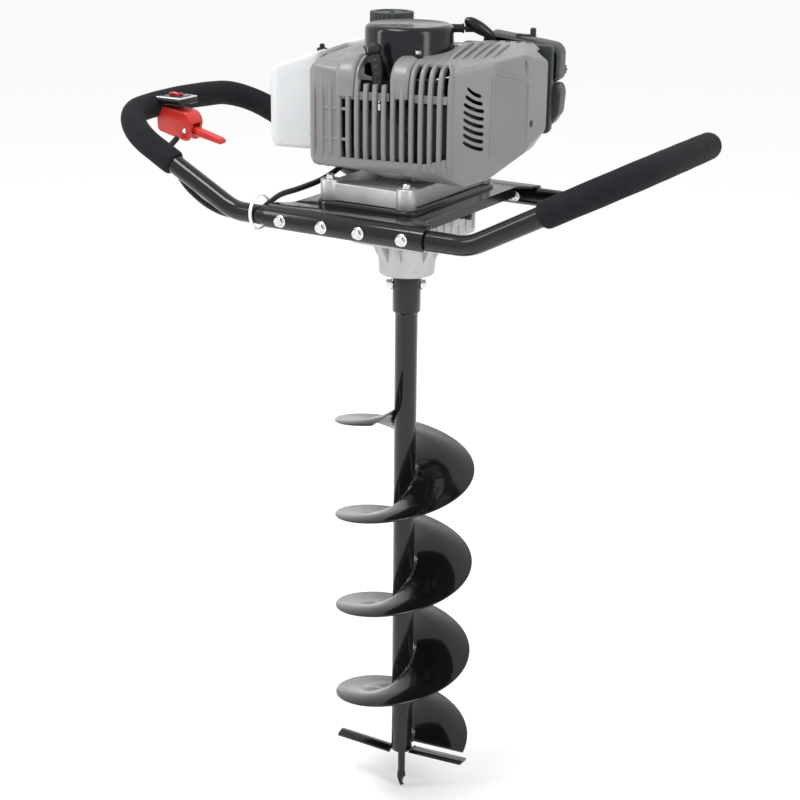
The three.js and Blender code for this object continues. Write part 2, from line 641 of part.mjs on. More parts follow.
function starterHousing() {
  const { radius, bottom, top, wall, guideEnd } = STARTER;
  const shell = turned([[0, bottom], [radius, bottom], [radius, top - 4], [radius - 4, top], [0, top]], 32);
  const hollow = rod(radius - wall, bottom - 1, top - wall, 32);
  const post = rod(5, CORD_LEVEL - 12, top - 1, 16);
  const tube = rodAlong([1, 0, 0], 5.5, radius - 8, guideEnd, [0, CORD_OFFSET, CORD_LEVEL], 14);
  const tubeBore = rodAlong([1, 0, 0], 3.4, 30, guideEnd + 5, [0, CORD_OFFSET, CORD_LEVEL], 12);
  const clear = rod(radius - wall, CORD_LEVEL - 7, CORD_LEVEL + 7, 32);
  return join(cut(join(shell, cut(tube, clear)), hollow), post).subtract(tubeBore);
}

function starterPulley() {
  const { radius, groove, half } = PULLEY;
  const profile = [[5.3, -half], [radius, -half], [radius, 1 - half], [groove, 2.3 - half],
    [groove, half - 2.3], [radius, half - 1], [radius, half], [5.3, half], [5.3, -half]];
  return turned(profile, 24).translate(0, 0, CORD_LEVEL);
}

function starterHandle() {
  const profile = [[0, -25], [4, -23], [7, -14], [8.5, 0], [8, 12], [5, 21], [0, 24]];
  const grip = turned(profile, 12).rotate(0, PULL_GRIP.tilt, 0);
  const neck = rodAlong([1, 0, 0], 5, -PULL_GRIP.neck, 0, [0, 0, 0], 10);
  const bore = rodAlong([1, 0, 0], 2.9, -30, 3, [0, 0, 0], 8);
  return cut(join(grip, neck), bore).translate(PULL_GRIP.x, CORD_OFFSET, CORD_LEVEL);
}

function fuelTank() {
  const outline = [
    [-186, -30], [-176, -42], [-110, -42], [-110, 66], [-8, 66], [-8, 122], [-174, 122], [-186, 110],
  ];
  const profile = [
    [-186, 86], [-176, 76], [-8, 76], [-8, 214], [-84, 214], [-112, 206], [-176, 184], [-186, 174],
  ];
  const outer = prism(outline, 30, 240).intersect(prism(profile, -60, 140, 'y'));
  const inner = prism(insetOutline(outline, TANK_WALL), 30, 240)
    .intersect(prism(insetOutline(profile, TANK_WALL), -60, 140, 'y'));
  const { x, y, radius, top } = TANK_NECK;
  const neck = rod(radius, 200, top, 22).translate(x, y, 0);
  const mouth = rod(radius - 4, 196, top + 3, 22).translate(x, y, 0);
  return cut(join(outer, neck), inner, mouth);
}

function fuelCap() {
  const { radius, bottom, top } = CAP;
  const cap = turned([[0, bottom], [radius - 2, bottom], [radius, bottom + 3], [radius, top - 3],
    [radius - 3, top], [0, top]], 26);
  const hollow = rod(TANK_NECK.radius + 0.8, bottom - 1, TANK_NECK.top + 0.6, 22);
  return cut(cap, hollow).translate(TANK_NECK.x, TANK_NECK.y, 0);
}

function carburettor() {
  const body = box([56, 14, 86], [86, 46, 124]);
  const inlet = rodAlong([-1, 0, 0], 9, -58, -CRANKCASE.half - GAP, [0, 24, CYLINDER_Z], 16);
  const cableStop = box([50, 45, 98], [57, 66, 112]);
  return join(body, inlet, cableStop);
}

function airCleanerBase() {
  const back = prism(roundedRectangle(50, 176, 98, 214, 8), 66, 82, 'y');
  const bulge = [[150, 112], [172, 104], [184, 122], [186, 150], [182, 161], [150, 161]];
  const chamber = prism(bulge, 80, 118, 'y');
  const duct = rodAlong([0.55, 0.83, 0], 9, 0, 34, [84, 42, CYLINDER_Z + 20], 14);
  const carburettorSide = box([50, 10, 80], [86.4, 46.4, 124.4]);
  return join(back, chamber, cut(duct, carburettorSide));
}

function airCleanerCover() {
  const outline = [[76, 164], [182, 164], [182, 204], [174, 213], [84, 226], [76, 220]];
  const shell = prism(outline, 82.4, 126, 'y');
  const hollow = prism(insetOutline(outline, 4), 80, 122, 'y');
  return cut(shell, hollow, rodAlong([0, 1, 0], 3.4, 100, 140, [LID_SCREW.x, 0, LID_SCREW.z], 12));
}

function airCleanerKnob() {
  return join(
    rodAlong([0, 1, 0], 3, 84, 128, [LID_SCREW.x, 0, LID_SCREW.z], 10),
    rodAlong([0, 1, 0], 9, 126.4, 138, [LID_SCREW.x, 0, LID_SCREW.z], 10));
}

function chokeLever() {
  const { x, y, level, stubX } = CHOKE;
  return join(
    rodAlong([0, 0, 1], 3, level, level + 2, [x, y, 0], 12),
    box([x - 4, y - 4, level + 0.4], [stubX + 4, y + 4, level + 3.2]),
    rodAlong([0, 0, 1], 4, level + 3, level + 12, [stubX, y, 0], 12));
}

function buildEngine() {
  const { bottom, top, radius } = CLUTCH;
  const neck = ring(44, 40, COVER.top + GAP, bottom + 2, 32);
  place('clutch_housing', join(ring(radius, 40, bottom, top, 32), neck), castAluminium(), engine);
  const drum = cut(rod(38.5, 50, 63, 28), rod(35.5, 53, 64, 28), rod(5.3, 49, 54, 12));
  place('clutch_drum', drum, steel(), engine);
  place('clutch_rotor', ring(32, 6.3, 54.5, 62.5), steel(), engine);
  place('crankcase', crankcase(), castAluminium(), engine);
  place('crankshaft', crankshaft(), steel(), engine);
  place('flywheel', flywheel(), castAluminium(), engine);
  place('cylinder', cylinder(), castAluminium(), engine);
  place('piston', piston(), steel(), engine);
  place('spark_plug', sparkPlug(), zinc(), engine);
  place('spark_plug_boot', sparkPlugBoot(), rubber(), engine);
  place('muffler', muffler(), steel(), engine);
  place('shroud', shroud(), greyPlastic(), engine);
  place('fuel_tank', fuelTank(), whitePlastic(), engine);
  place('fuel_cap', fuelCap(), darkPlastic(), engine);
  place('carburettor', carburettor(), castAluminium(), engine);
  place('air_cleaner_base', airCleanerBase(), darkPlastic(), engine);
  place('air_cleaner_cover', airCleanerCover(), darkPlastic(), engine);
  place('air_cleaner_knob', airCleanerKnob(), darkPlastic(), engine);
  place('choke_lever', chokeLever(), darkPlastic(), engine);
  const starter = new THREE.Group();
  starter.rotation.z = CORD_TURN;
  root.add(starter);
  place('starter_housing', starterHousing(), blackPlastic(), starter);
  place('starter_pulley', starterPulley(), whitePlastic(), starter);
  const cord = rodAlong([1, 0, 0], 2, 0, PULL_GRIP.x + 1, [0, CORD_OFFSET, CORD_LEVEL], 8);
  place('starter_cord', cord, rubber(), starter);
  place('starter_handle', starterHandle(), blackPlastic(), starter);
}

// ---------------------------------------------------------------- controls
function throttleConduit() {
  const route = [
    [-338, -70, 67], [-327, -98, 60], [-302, -127, 47], [-286, -130, 30], [-268, -131, 13], [-238, -131, -4],
    [-205, -131, -12], [-175, -131, -8], [-150, -131, 1], [-135, -129, 13], [-124, -118, 23], [-114, -90, 27],
    [-104, -50, 34], [-92, -14, 50], [-80, 12, 68], [-62, 40, 84], [-34, 53, 98], [8, 61.3, 105],
    [34.4, 67.4, 105],
  ];
  const curve = new THREE.CatmullRomCurve3(route.map((point) => new THREE.Vector3(...point)));
  return swept(curve, 48, CONDUIT_RADIUS, 0, 8);
}

const blockOf = ({ left, right, front, rear, bottom, top }) =>
  box([left, front, bottom], [right, rear, top]);

// The rocker tips into this pocket.
function rockerPocket() {
  const { left, right, front, rear, bottom } = ROCKER;
  const play = 1.6;
  return box([left - play, front - play, bottom - 3], [right + play, rear + play, bottom + 1]);
}

function buildControls() {
  const saddle = swept(gripCurve(-1), 20, GRIP_RADIUS + GAP, 0, 8);
  const housing = cut(
    prism([[-378, 74], [-324, 62], [-316, 91], [-324, 104], [-378, 111]], -64, -34, 'y'),
    box([-352, -57, 50], [-286, -41, 88]), saddle);
  place('throttle_housing', housing, redPlastic());
  const lever = [[-334, 78], [-324, 84], [-270, 70], [-272, 63], [-324, 72]];
  place('throttle_trigger', prism(lever, TRIGGER_PLANE.front, TRIGGER_PLANE.rear, 'y'), redPlastic());
  place('switch_box', cut(blockOf(SWITCH), saddle, rockerPocket()), blackPlastic());
  place('switch_rocker', blockOf(ROCKER), redPlastic());
  place('throttle_conduit', throttleConduit(), rubber());
  const { outer, inner, half, centre } = CABLE_TIE;
  place('cable_tie', ring(outer, inner, -half, half, 18).rotate(0, 90, 0).translate(...centre),
    whitePlastic());
}

buildAuger();
buildFrame();
buildGearbox();
buildEngine();
buildControls();

export default root;
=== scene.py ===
import json
import math

import bmesh
import bpy
from mathutils import Matrix, Vector


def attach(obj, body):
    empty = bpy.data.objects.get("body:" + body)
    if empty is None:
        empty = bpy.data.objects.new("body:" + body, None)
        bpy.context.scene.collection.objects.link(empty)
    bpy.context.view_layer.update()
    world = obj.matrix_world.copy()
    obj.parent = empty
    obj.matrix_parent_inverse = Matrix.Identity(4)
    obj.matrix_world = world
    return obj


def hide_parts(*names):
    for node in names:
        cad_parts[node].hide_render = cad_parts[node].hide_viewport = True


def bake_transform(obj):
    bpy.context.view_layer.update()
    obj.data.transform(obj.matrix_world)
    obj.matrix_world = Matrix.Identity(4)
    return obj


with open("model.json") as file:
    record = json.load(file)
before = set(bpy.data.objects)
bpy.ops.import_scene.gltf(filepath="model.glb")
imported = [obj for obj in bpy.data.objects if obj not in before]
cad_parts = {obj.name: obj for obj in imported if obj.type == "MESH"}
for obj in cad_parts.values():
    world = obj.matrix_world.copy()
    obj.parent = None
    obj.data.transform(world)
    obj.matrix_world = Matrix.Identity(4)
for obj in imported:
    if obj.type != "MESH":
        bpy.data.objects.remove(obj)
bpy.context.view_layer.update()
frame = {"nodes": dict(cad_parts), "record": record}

MM = 0.001
TAU = 2 * math.pi
ROOT = Matrix.Identity(4)
ENGINE = Matrix.Rotation(math.radians(13), 4, "Z")     # the engine sits turned on the gearbox
CORD = Matrix.Rotation(math.radians(31), 4, "Z")       # the starter cord leaves this way

# auger
AUGER_RADIUS = 100
AUGER_PITCH = 145.6
AUGER_BOTTOM = -844
TUBE_OUTER = 15.8
TUBE_INNER = 13.2
FLIGHT_START, FLIGHT_END = 0.15, 23.63    # radians round the axis
FLIGHT_PHASE, FLIGHT_PHASE_Z = 2.029, -783.7
PILOT_TIP = -912
PIN_LEVEL = -109

# frame and handles
LEG_Y = 150
HANDLE_TUBE = 13
HANDLE_WALL = 1.8
GRIP_RADIUS = 17.5
GRIP_FROM, GRIP_TO = 0.268, 0.732         # share of the tube's length
BOLT_X = (-92, -28, 28, 92)
CHANNEL_OUTER, CHANNEL_INNER = 16.6, 13.4
M8_HEAD, M8_WASHER = 6.5, 7.6             # radii of the hexagon and the washer
LAYSHAFT_Y = 45
COVER_SCREWS = [(x, y) for x in (-58, 58) for y in (-100, 100)]

# engine
CYLINDER_Z = 105
PLUG_X, PLUG_Y = -12, -88
STARTER_RADIUS = 59
CORD_LEVEL, CORD_OFFSET = 234, 22
STARTER_TOP = 242
EAR_TURNS, EAR_TOP = (-122, -62, 18, 138), 211.4
SHROUD_WALL = 3.6
LOUVRE_COUNT, LOUVRE_PITCH, LOUVRE_LOWEST = 8, 9.6, 101
GRIP_X = 93
FIN_FIRST, FIN_PITCH, FIN_COUNT = -98, 12.2, 16
TANK_NECK_X, TANK_NECK_Y = -54, 88
LID_SCREW_X, LID_SCREW_Z = 173, 175

record = frame["record"]
SLOT_OF = {part["node"]: part["material_slot"] for part in record["subparts"]}
BODY_OF = {node: name for name, nodes in record["behaviour"]["bodies"].items() for node in nodes}


# ---- camera, floor and light
def place_camera():
    """The photograph's view: from the front and right, a little above."""
    camera = bpy.data.objects.new("camera", bpy.data.cameras.new("camera"))
    bpy.context.scene.collection.objects.link(camera)
    azimuth, down, roll = math.radians(31), math.radians(19.82), 0.011
    turn = Matrix.Rotation(azimuth, 4, "Z") @ Matrix.Rotation(math.pi / 2 - down, 4, "X")
    position = (1.08042, -1.79812, 0.47628)
    camera.matrix_world = Matrix.Translation(position) @ turn @ Matrix.Rotation(roll, 4, "Z")
    camera.data.lens = 71.07
    camera.data.sensor_width = 36
    camera.data.shift_x = -0.00682
    camera.data.shift_y = 0.00116
    bpy.context.scene.camera = camera


def place_light(name, location, size, power):
    lamp = bpy.data.lights.new(name, "AREA")
    lamp.shape = "RECTANGLE"
    lamp.size, lamp.size_y = size
    lamp.energy = power
    light = bpy.data.objects.new(name, lamp)
    light.location = location
    aim = Vector((0, 0, -0.2)) - Vector(location)
    light.rotation_euler = aim.to_track_quat("-Z", "Y").to_euler()
    bpy.context.scene.collection.objects.link(light)


def dress_studio():
    scene = bpy.context.scene
    scene.view_settings.view_transform = "Standard"
    world = bpy.data.worlds.new("studio")
    world.use_nodes = True
    background = world.node_tree.nodes["Background"]
    background.inputs["Color"].default_value = (1, 1, 1, 1)
    background.inputs["Strength"].default_value = 0.98
    scene.world = world
    place_light("softbox_top", (-0.5, -0.9, 2.4), (1.3, 0.9), 44)
    place_light("softbox_right", (2.3, -0.6, 0.9), (0.6, 2.0), 22)
    place_light("softbox_left", (-1.9, -1.5, 0.7), (0.4, 2.0), 16)
    outline = [Vector((x, y, 0)) for x, y in ((-6e4, -6e4), (6e4, -6e4), (6e4, 6e4), (-6e4, 6e4))]
    low, high = [[p + Vector((0, 0, z)) for p in outline] for z in (PILOT_TIP - 21, PILOT_TIP - 1)]
    floor = skin("floor", [low, high])
    paper = coated("floor_paper", (0.96, 0.96, 0.96), 0.95, tint=0.005, Specular_IOR_Level=0.1)
    floor.data.materials.append(paper)


# ---- mesh helpers
def shift(x, y, z):
    return Matrix.Translation((x, y, z))


def spin(degrees, axis):
    return Matrix.Rotation(math.radians(degrees), 4, axis)


def on_engine(x, y, z):
    """Frame at a point of the turned engine."""
    return ENGINE @ shift(x, y, z)


def on_cord(x):
    """Point on the starter cord's straight line."""
    return x, CORD_OFFSET, CORD_LEVEL


def body(name, vertices, faces, place=ROOT):
    """Mesh object from points in millimetres in a local frame, with its faces turned outwards."""
    mesh = bpy.data.meshes.new(name)
    mesh.from_pydata([(place @ Vector(v)) * MM for v in vertices], [], faces)
    work = bmesh.new()
    work.from_mesh(mesh)
    bmesh.ops.remove_doubles(work, verts=work.verts, dist=1e-6)
    bmesh.ops.recalc_face_normals(work, faces=work.faces)
    work.to_mesh(mesh)
    work.free()
    obj = bpy.data.objects.new(name, mesh)
    bpy.context.scene.collection.objects.link(obj)
    return obj


def skin(name, rings, place=ROOT, loop=False):
    """Closed body through rings of points. loop joins the last ring to the first and needs no caps."""
    count = len(rings[0])
    vertices = [point for ring in rings for point in ring]
    faces = []
    for i in range(len(rings) if loop else len(rings) - 1):
        near, far = i * count, (i + 1) % len(rings) * count
        for j in range(count):
            k = (j + 1) % count
            faces.append((near + j, near + k, far + k, far + j))
    if not loop:
        faces.append(tuple(range(count)))
        faces.append(tuple(range(len(vertices) - count, len(vertices))))
    return body(name, vertices, faces, place)


def turned(name, profile, sides=64, place=ROOT):
    """Body of revolution about Z. The (radius, z) profile starts and ends on the axis or closes."""
    rings = []
    for i in range(sides):
        angle = TAU * i / sides
        rings.append([Vector((r * math.cos(angle), r * math.sin(angle), z)) for r, z in profile])
    return skin(name, rings, place, loop=True)


def drum(name, radius, low, high, sides=64, place=ROOT):
    """Plain cylinder about Z."""
    return turned(name, [(0, low), (radius, low), (radius, high), (0, high)], sides, place)


def soft_corners(points, reach, closed=True, steps=6):
    """Points with each corner replaced by a curve that starts `reach` before it."""
    points = [Vector(p) for p in points]
    count = len(points)
    result = []
    for i, corner in enumerate(points):
        if not closed and i in (0, count - 1):
            result.append(corner)
            continue
        before, after = points[i - 1] - corner, points[(i + 1) % count] - corner
        own = reach[i] if isinstance(reach, (list, tuple)) else reach
        length = min(own, before.length * 0.49, after.length * 0.49)
        start, end = corner + before.normalized() * length, corner + after.normalized() * length
        for step in range(steps + 1):
            t = step / steps
            result.append(start * (1 - t) ** 2 + corner * 2 * t * (1 - t) + end * t ** 2)
    return result


def rectangle(left, right, front, rear, radius, steps=6):
    corners = [(left, front), (right, front), (right, rear), (left, rear)]
    return soft_corners(corners, radius, steps=steps)


def polygon(sides, radius, phase=0.0):
    return [Vector((radius * math.cos(phase + TAU * i / sides), radius * math.sin(phase + TAU * i / sides)))
            for i in range(sides)]


def inset(outline, distance):
    """Outline moved inwards by a distance; it runs anticlockwise."""
    result = []
    for i, point in enumerate(outline):
        before = (point - outline[i - 1]).normalized()
        after = (outline[(i + 1) % len(outline)] - point).normalized()
        inward = Vector((-before.y - after.y, before.x + after.x)).normalized()
        slant = max(0.5, inward.dot(Vector((-before.y, before.x))))
        result.append(point + inward * (distance / slant))
    return result


def anticlockwise(outline):
    outline = [Vector(p) for p in outline]
    area = sum(outline[i - 1].cross(p) for i, p in enumerate(outline))
    return outline if area > 0 else outline[::-1]


def slab(name, outline, low, high, edge=0.0, axis="z", place=ROOT):
    """Outline extruded along an axis from low to high, its rims rounded by `edge`."""
    orders = {"z": (0, 1, 2), "x": (2, 0, 1), "y": (0, 2, 1)}
    outline = anticlockwise(outline)
    levels = [(0.0, low), (0.0, high)]
    if edge:
        turns = [math.radians(a) for a in (0, 30, 60, 90)]
        levels = [(edge * (1 - math.sin(a)), low + edge * (1 - math.cos(a))) for a in turns]
        levels += [(edge * (1 - math.sin(a)), high - edge * (1 - math.cos(a))) for a in turns[::-1]]
    rings = []
    for distance, level in levels:
        loop = inset(outline, distance) if distance else outline
        rings.append([Vector([(p.x, p.y, level)[i] for i in orders[axis]]) for p in loop])
    return skin(name, rings, place)


def cuboid(name, low, high, edge=0.0, place=ROOT):
    outline = [(low[0], low[1]), (high[0], low[1]), (high[0], high[1]), (low[0], high[1])]
    if edge:
        outline = soft_corners(outline, edge, steps=4)
    return slab(name, outline, low[2], high[2], edge, place=place)


def swept(name, path, section, up=(0, 0, 1), place=ROOT, bore=None):
    """Section carried along a path without twist. section(distance) gives (across, up) pairs;
    bore does the same for the inside of a tube."""
    outer, inner = [], []
    normal = Vector(up)
    distance = 0.0
    for i, point in enumerate(path):
        tangent = (path[min(i + 1, len(path) - 1)] - path[max(i - 1, 0)]).normalized()
        normal = (normal - tangent * normal.dot(tangent)).normalized()
        across = tangent.cross(normal)
        if i:
            distance += (point - path[i - 1]).length
        outer.append([point + across * a + normal * b for a, b in section(distance)])
        if bore:
            inner.append([point + across * a + normal * b for a, b in bore(distance)])
    if bore:
        return skin(name, outer + inner[::-1], place, loop=True)
    return skin(name, outer, place)


def circle(radius, sides=20):
    """A round section for swept(); the radius may be a function of the distance along the path."""
    def section(distance):
        size = radius(distance) if callable(radius) else radius
        return [(p.x, p.y) for p in polygon(sides, size)]
    return section


def rod(name, start, end, radius, place=ROOT, sides=32, edge=0.4):
    """Round bar between two points with a small rounding at both ends."""
    start, end = Vector(start), Vector(end)
    length = (end - start).length
    profile = [(0, 0), (radius - edge, 0), (radius, edge), (radius, length - edge), (radius - edge, length),
               (0, length)]
    turn = Vector((0, 0, 1)).rotation_difference(end - start).to_matrix().to_4x4()
    return turned(name, profile, sides, place @ Matrix.Translation(start) @ turn)


def bake(obj):
    graph = bpy.context.evaluated_depsgraph_get()
    mesh = bpy.data.meshes.new_from_object(obj.evaluated_get(graph))
    obj.modifiers.clear()
    obj.data = mesh
    return obj


def boolean(operation, target, others):
    for other in others:
        modifier = target.modifiers.new(operation, "BOOLEAN")
        modifier.solver = "MANIFOLD"
        modifier.operation = operation
        modifier.object = other
    bake(target)
    for other in others:
        bpy.data.objects.remove(other)
    return target


def join(target, *others):
    return boolean("UNION", target, others)


def cut(target, *others):
    return boolean("DIFFERENCE", target, others)


def common(target, *others):
    return boolean("INTERSECT", target, others)


def soften(obj, width, angle=35, segments=2):
    """Rounds the edges sharper than an angle."""
    bevel = obj.modifiers.new("soften", "BEVEL")
    bevel.width = width * MM
    bevel.segments = segments
    bevel.limit_method = "ANGLE"
    bevel.angle_limit = math.radians(angle)
    return bake(obj)


def moulded(obj, voxel, passes):
    """Rebuilds a body as an even skin and relaxes it, so that every edge becomes round."""
    remesh = obj.modifiers.new("even", "REMESH")
    remesh.mode = "VOXEL"
    remesh.voxel_size = voxel * MM
    relax = obj.modifiers.new("relax", "SMOOTH")
    relax.factor = 0.5
    relax.iterations = passes
    return bake(obj)


def shade(obj, angle=32):
    obj.data.shade_smooth()
    obj.data.set_sharp_from_angle(angle=math.radians(angle))


def stand_for(obj, *nodes, angle=32):
    """obj takes the place, body and finish of these CAD nodes."""
    shade(obj, angle)
    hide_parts(*nodes)
    return add_on(obj, BODY_OF[nodes[0]], SLOT_OF[nodes[0]], angle)


def add_on(obj, owner, finish, angle=32):
    """obj is a detail that rides on a body and has the finish of a slot."""
    shade(obj, angle)
    obj.data.materials.clear()
    obj.data.materials.append(MATERIALS[finish])
    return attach(obj, owner)


# ---- materials
def set_inputs(node, **values):
    """Sets a shader node's inputs; an underscore stands for a space in their names."""
    for socket, value in values.items():
        node.inputs[socket.replace("_", " ")].default_value = value
    return node


def coated(name, colour, roughness, metallic=0.0, tint=0.1, patch=0.04, grain=0.1, grain_size=0.0012,
           spread=0.05, cells=False, **constants):
    """Surface whose colour and roughness vary in soft patches under a fine bump. Sizes in metres."""
    material = bpy.data.materials.new(name)
    material.use_nodes = True
    nodes, links = material.node_tree.nodes, material.node_tree.links
    shader = nodes["Principled BSDF"]
    place = nodes.new("ShaderNodeTexCoord").outputs["Object"]

    patches = set_inputs(nodes.new("ShaderNodeTexNoise"), Scale=1 / patch, Detail=5)
    links.new(place, patches.inputs["Vector"])
    ramp = nodes.new("ShaderNodeValToRGB")
    ramp.color_ramp.elements[0].position = 0.3
    ramp.color_ramp.elements[1].position = 0.7
    ramp.color_ramp.elements[0].color = (*[c * (1 - tint) for c in colour], 1)
    ramp.color_ramp.elements[1].color = (*[min(1, c * (1 + tint)) for c in colour], 1)
    links.new(patches.outputs["Fac"], ramp.inputs["Fac"])
    links.new(ramp.outputs["Color"], shader.inputs["Base Color"])

    speckle = nodes.new("ShaderNodeTexVoronoi" if cells else "ShaderNodeTexNoise")
    set_inputs(speckle, Scale=1 / grain_size)
    links.new(place, speckle.inputs["Vector"])
    relief = speckle.outputs["Distance" if cells else "Fac"]
    bump = set_inputs(nodes.new("ShaderNodeBump"), Strength=grain, Distance=grain_size * 0.4)
    links.new(relief, bump.inputs["Height"])
    links.new(bump.outputs["Normal"], shader.inputs["Normal"])

    wear = set_inputs(nodes.new("ShaderNodeTexNoise"), Scale=3.5 / patch, Detail=4)
    links.new(place, wear.inputs["Vector"])
    gloss = set_inputs(nodes.new("ShaderNodeMapRange"), From_Min=0.3, From_Max=0.7,
                       To_Min=max(0.02, roughness - spread), To_Max=min(1.0, roughness + spread))
    links.new(wear.outputs["Fac"], gloss.inputs["Value"])
    links.new(gloss.outputs["Result"], shader.inputs["Roughness"])

    set_inputs(shader, Metallic=metallic, **constants)
    return material


def make_materials():
    metal = {"tint": 0.08, "patch": 0.02}
    made = {}

    def add(name, *looks, **options):
        made[name] = coated(name, *looks, **options)

    add("gloss_black_paint", (0.004, 0.0045, 0.005), 0.15, tint=0.2, grain=0.06, grain_size=0.004,
        spread=0.03, Specular_IOR_Level=0.25, Coat_Weight=0.25, Coat_Roughness=0.04)
    add("foam_grip", (0.007, 0.008, 0.010), 0.92, grain=0.5, grain_size=0.0016, cells=True,
        Specular_IOR_Level=0.25)
    add("zinc_fastener", (0.74, 0.75, 0.76), 0.22, 1.0, grain=0.12, **metal)
    add("cast_aluminium", (0.42, 0.43, 0.425), 0.42, 0.7, grain=0.45, grain_size=0.0009, **metal)
    # darkened copy of cast aluminium: painted shade for the castings behind the fins
    add("painted_shade_casting", (0.05, 0.05, 0.05), 0.6, 0.4, grain=0.45, grain_size=0.0009, **metal)
    add("machined_steel", (0.42, 0.43, 0.44), 0.32, 1.0, grain=0.1, **metal)
    add("grey_shroud_plastic", (0.185, 0.182, 0.179), 0.36, tint=0.05, grain=0.18, grain_size=0.0007)
    add("white_tank_plastic", (0.60, 0.62, 0.63), 0.34, tint=0.03, patch=0.06, grain=0.1,
        grain_size=0.002, Subsurface_Weight=0.35, Subsurface_Scale=0.012)
    add("dark_plastic", (0.022, 0.026, 0.027), 0.42, tint=0.15, grain=0.25, grain_size=0.0006,
        Specular_IOR_Level=0.3)
    add("gloss_black_plastic", (0.006, 0.007, 0.009), 0.16, tint=0.2, grain=0.04, grain_size=0.003,
        Specular_IOR_Level=0.3)
    add("white_nylon", (0.78, 0.78, 0.76), 0.45, tint=0.03, Subsurface_Weight=0.2, Subsurface_Scale=0.004)
    add("black_rubber", (0.008, 0.008, 0.009), 0.5, tint=0.2, grain=0.2, Specular_IOR_Level=0.3)
    add("black_cord", (0.015, 0.015, 0.015), 0.85, grain=0.8, grain_size=0.0012)
    add("red_plastic", (0.52, 0.024, 0.018), 0.30, tint=0.08, grain=0.08)
    return made


# ---- auger
def auger_tube():
    profile = [(12.4, -96.6), (13, -96), (18.8, -96), (19.5, -96.8), (19.5, -145.6), (18.9, -146.6),
               (17.4, -147.4), (16.5, -149.2), (TUBE_OUTER, -151.5), (TUBE_OUTER, AUGER_BOTTOM + 0.6),
               (15.2, AUGER_BOTTOM), (TUBE_INNER, AUGER_BOTTOM), (TUBE_INNER, -147), (12.4, -146)]
    tube = turned("auger_tube_welded", profile, 72, CORD)
    hole = rod("pin_hole", (-30, 0, PIN_LEVEL), (30, 0, PIN_LEVEL), 4.3, CORD)
    stand_for(cut(tube, hole), "auger_tube")


def auger_flight():
    """Spiral plate with a wavy bead of weld where it meets the tube."""
    ripples = 24
    steps = int((FLIGHT_END - FLIGHT_START) / math.radians(3))
    rings = []
    for i in range(steps + 1):
        angle = FLIGHT_START + (FLIGHT_END - FLIGHT_START) * i / steps
        level = FLIGHT_PHASE_Z + AUGER_PITCH * (angle - FLIGHT_PHASE) / TAU
        bead = 0.45 * math.sin(angle * ripples) + 0.25 * math.sin(angle * 7.3)
        section = [(16.1, 4.4 + bead), (17.4, 3.6 + bead), (19.2 + bead, 2.0), (20.6 + bead, 1.5),
                   (60, 1.5), (AUGER_RADIUS - 0.8, 1.5), (AUGER_RADIUS, 0.7), (AUGER_RADIUS, -0.7),
                   (AUGER_RADIUS - 0.8, -1.5), (60, -1.5), (20.6 - bead, -1.5), (19 - bead, -2.1),
                   (17.4, -3.4 + bead), (16.1, -4.2 + bead)]
        rings.append([Vector((r * math.cos(angle), r * math.sin(angle), level + z)) for r, z in section])
    stand_for(skin("auger_flight_welded", rings), "auger_flight", angle=45)


def cutter(node, reach, width, turn, level):
    """Flat cutter with a ground leading edge and beads of weld along its root."""
    place = shift(0, 0, level) @ turn
    edge = -width / 2
    outline = soft_corners([(edge, -2), (width / 2, -2), (width / 2, 2), (edge + 7, 2), (edge, -1)], 0.6,
                           steps=3)
    bar = slab(node + "_bar", outline, 16.4, reach, 0.6, "x", place)
    beads = []
    for i in range(7):
        along = edge + 4 + i * (width - 8) / 6
        centre = place @ shift(17.6, along, 1.6)
        bead = [(0, -2.2), (1.7, -1.5), (2.3, 0), (1.7, 1.4), (0, 1.9)]
        beads.append(turned("bead", bead, 16, centre))
    stand_for(join(bar, *beads), node)


def cutters():
    for node, reach, width, tilts, level in (("cutter_right", 101, 27, (-14, 0, 8), -843),
                                             ("cutter_left", 104, 19, (-10, -5, 188), -850)):
        x, y, z = [math.radians(t) for t in tilts]
        turn = Matrix.Rotation(z, 4, "Z") @ Matrix.Rotation(y, 4, "Y") @ Matrix.Rotation(x, 4, "X")
        cutter(node, reach, width, turn, level)


def pilot_point():
    """Round shank that ends in a twisted spade."""
    shank = turned("pilot_shank", [(0, -844.3), (5.2, -844.3), (5.5, -844.8), (5.5, -884), (4.6, -889),
                                   (0, -889)], 32)
    length, steps = 27, 24
    rings = []
    for i in range(steps + 1):
        along = i / steps
        half = 7.5 * ((1 - along) / 0.25 * 0.92 + 0.08 if along > 0.75 else 0.75 + along / 3)
        thick = 2.3 if along < 0.8 else 2.3 - 8 * (along - 0.8)
        angle = along * math.pi
        across = Vector((math.cos(angle), math.sin(angle), 0))
        out = Vector((-across.y, across.x, 0))
        centre = Vector((0, 0, PILOT_TIP + length * (1 - along)))
        section = soft_corners([(-half, -thick), (half, -thick), (half, thick), (-half, thick)], 0.7, steps=2)
        rings.append([centre + across * p.x + out * p.y for p in section])
    spade = skin("pilot_spade", rings)
    stand_for(join(shank, spade), "pilot_point", angle=50)


def hexagon(name, radius, low, high, place):
    """Hexagonal head or nut with its corners turned off."""
    blank = slab(name, polygon(6, radius), low, high, place=place)
    turnings = [(0, low - 0.1), (radius * 0.93, low - 0.1), (radius + 0.1, low + 0.9),
                (radius + 0.1, high - 1.1), (radius * 0.88, high + 0.01), (0, high + 0.01)]
    return common(blank, turned("turnings", turnings, 48, place))


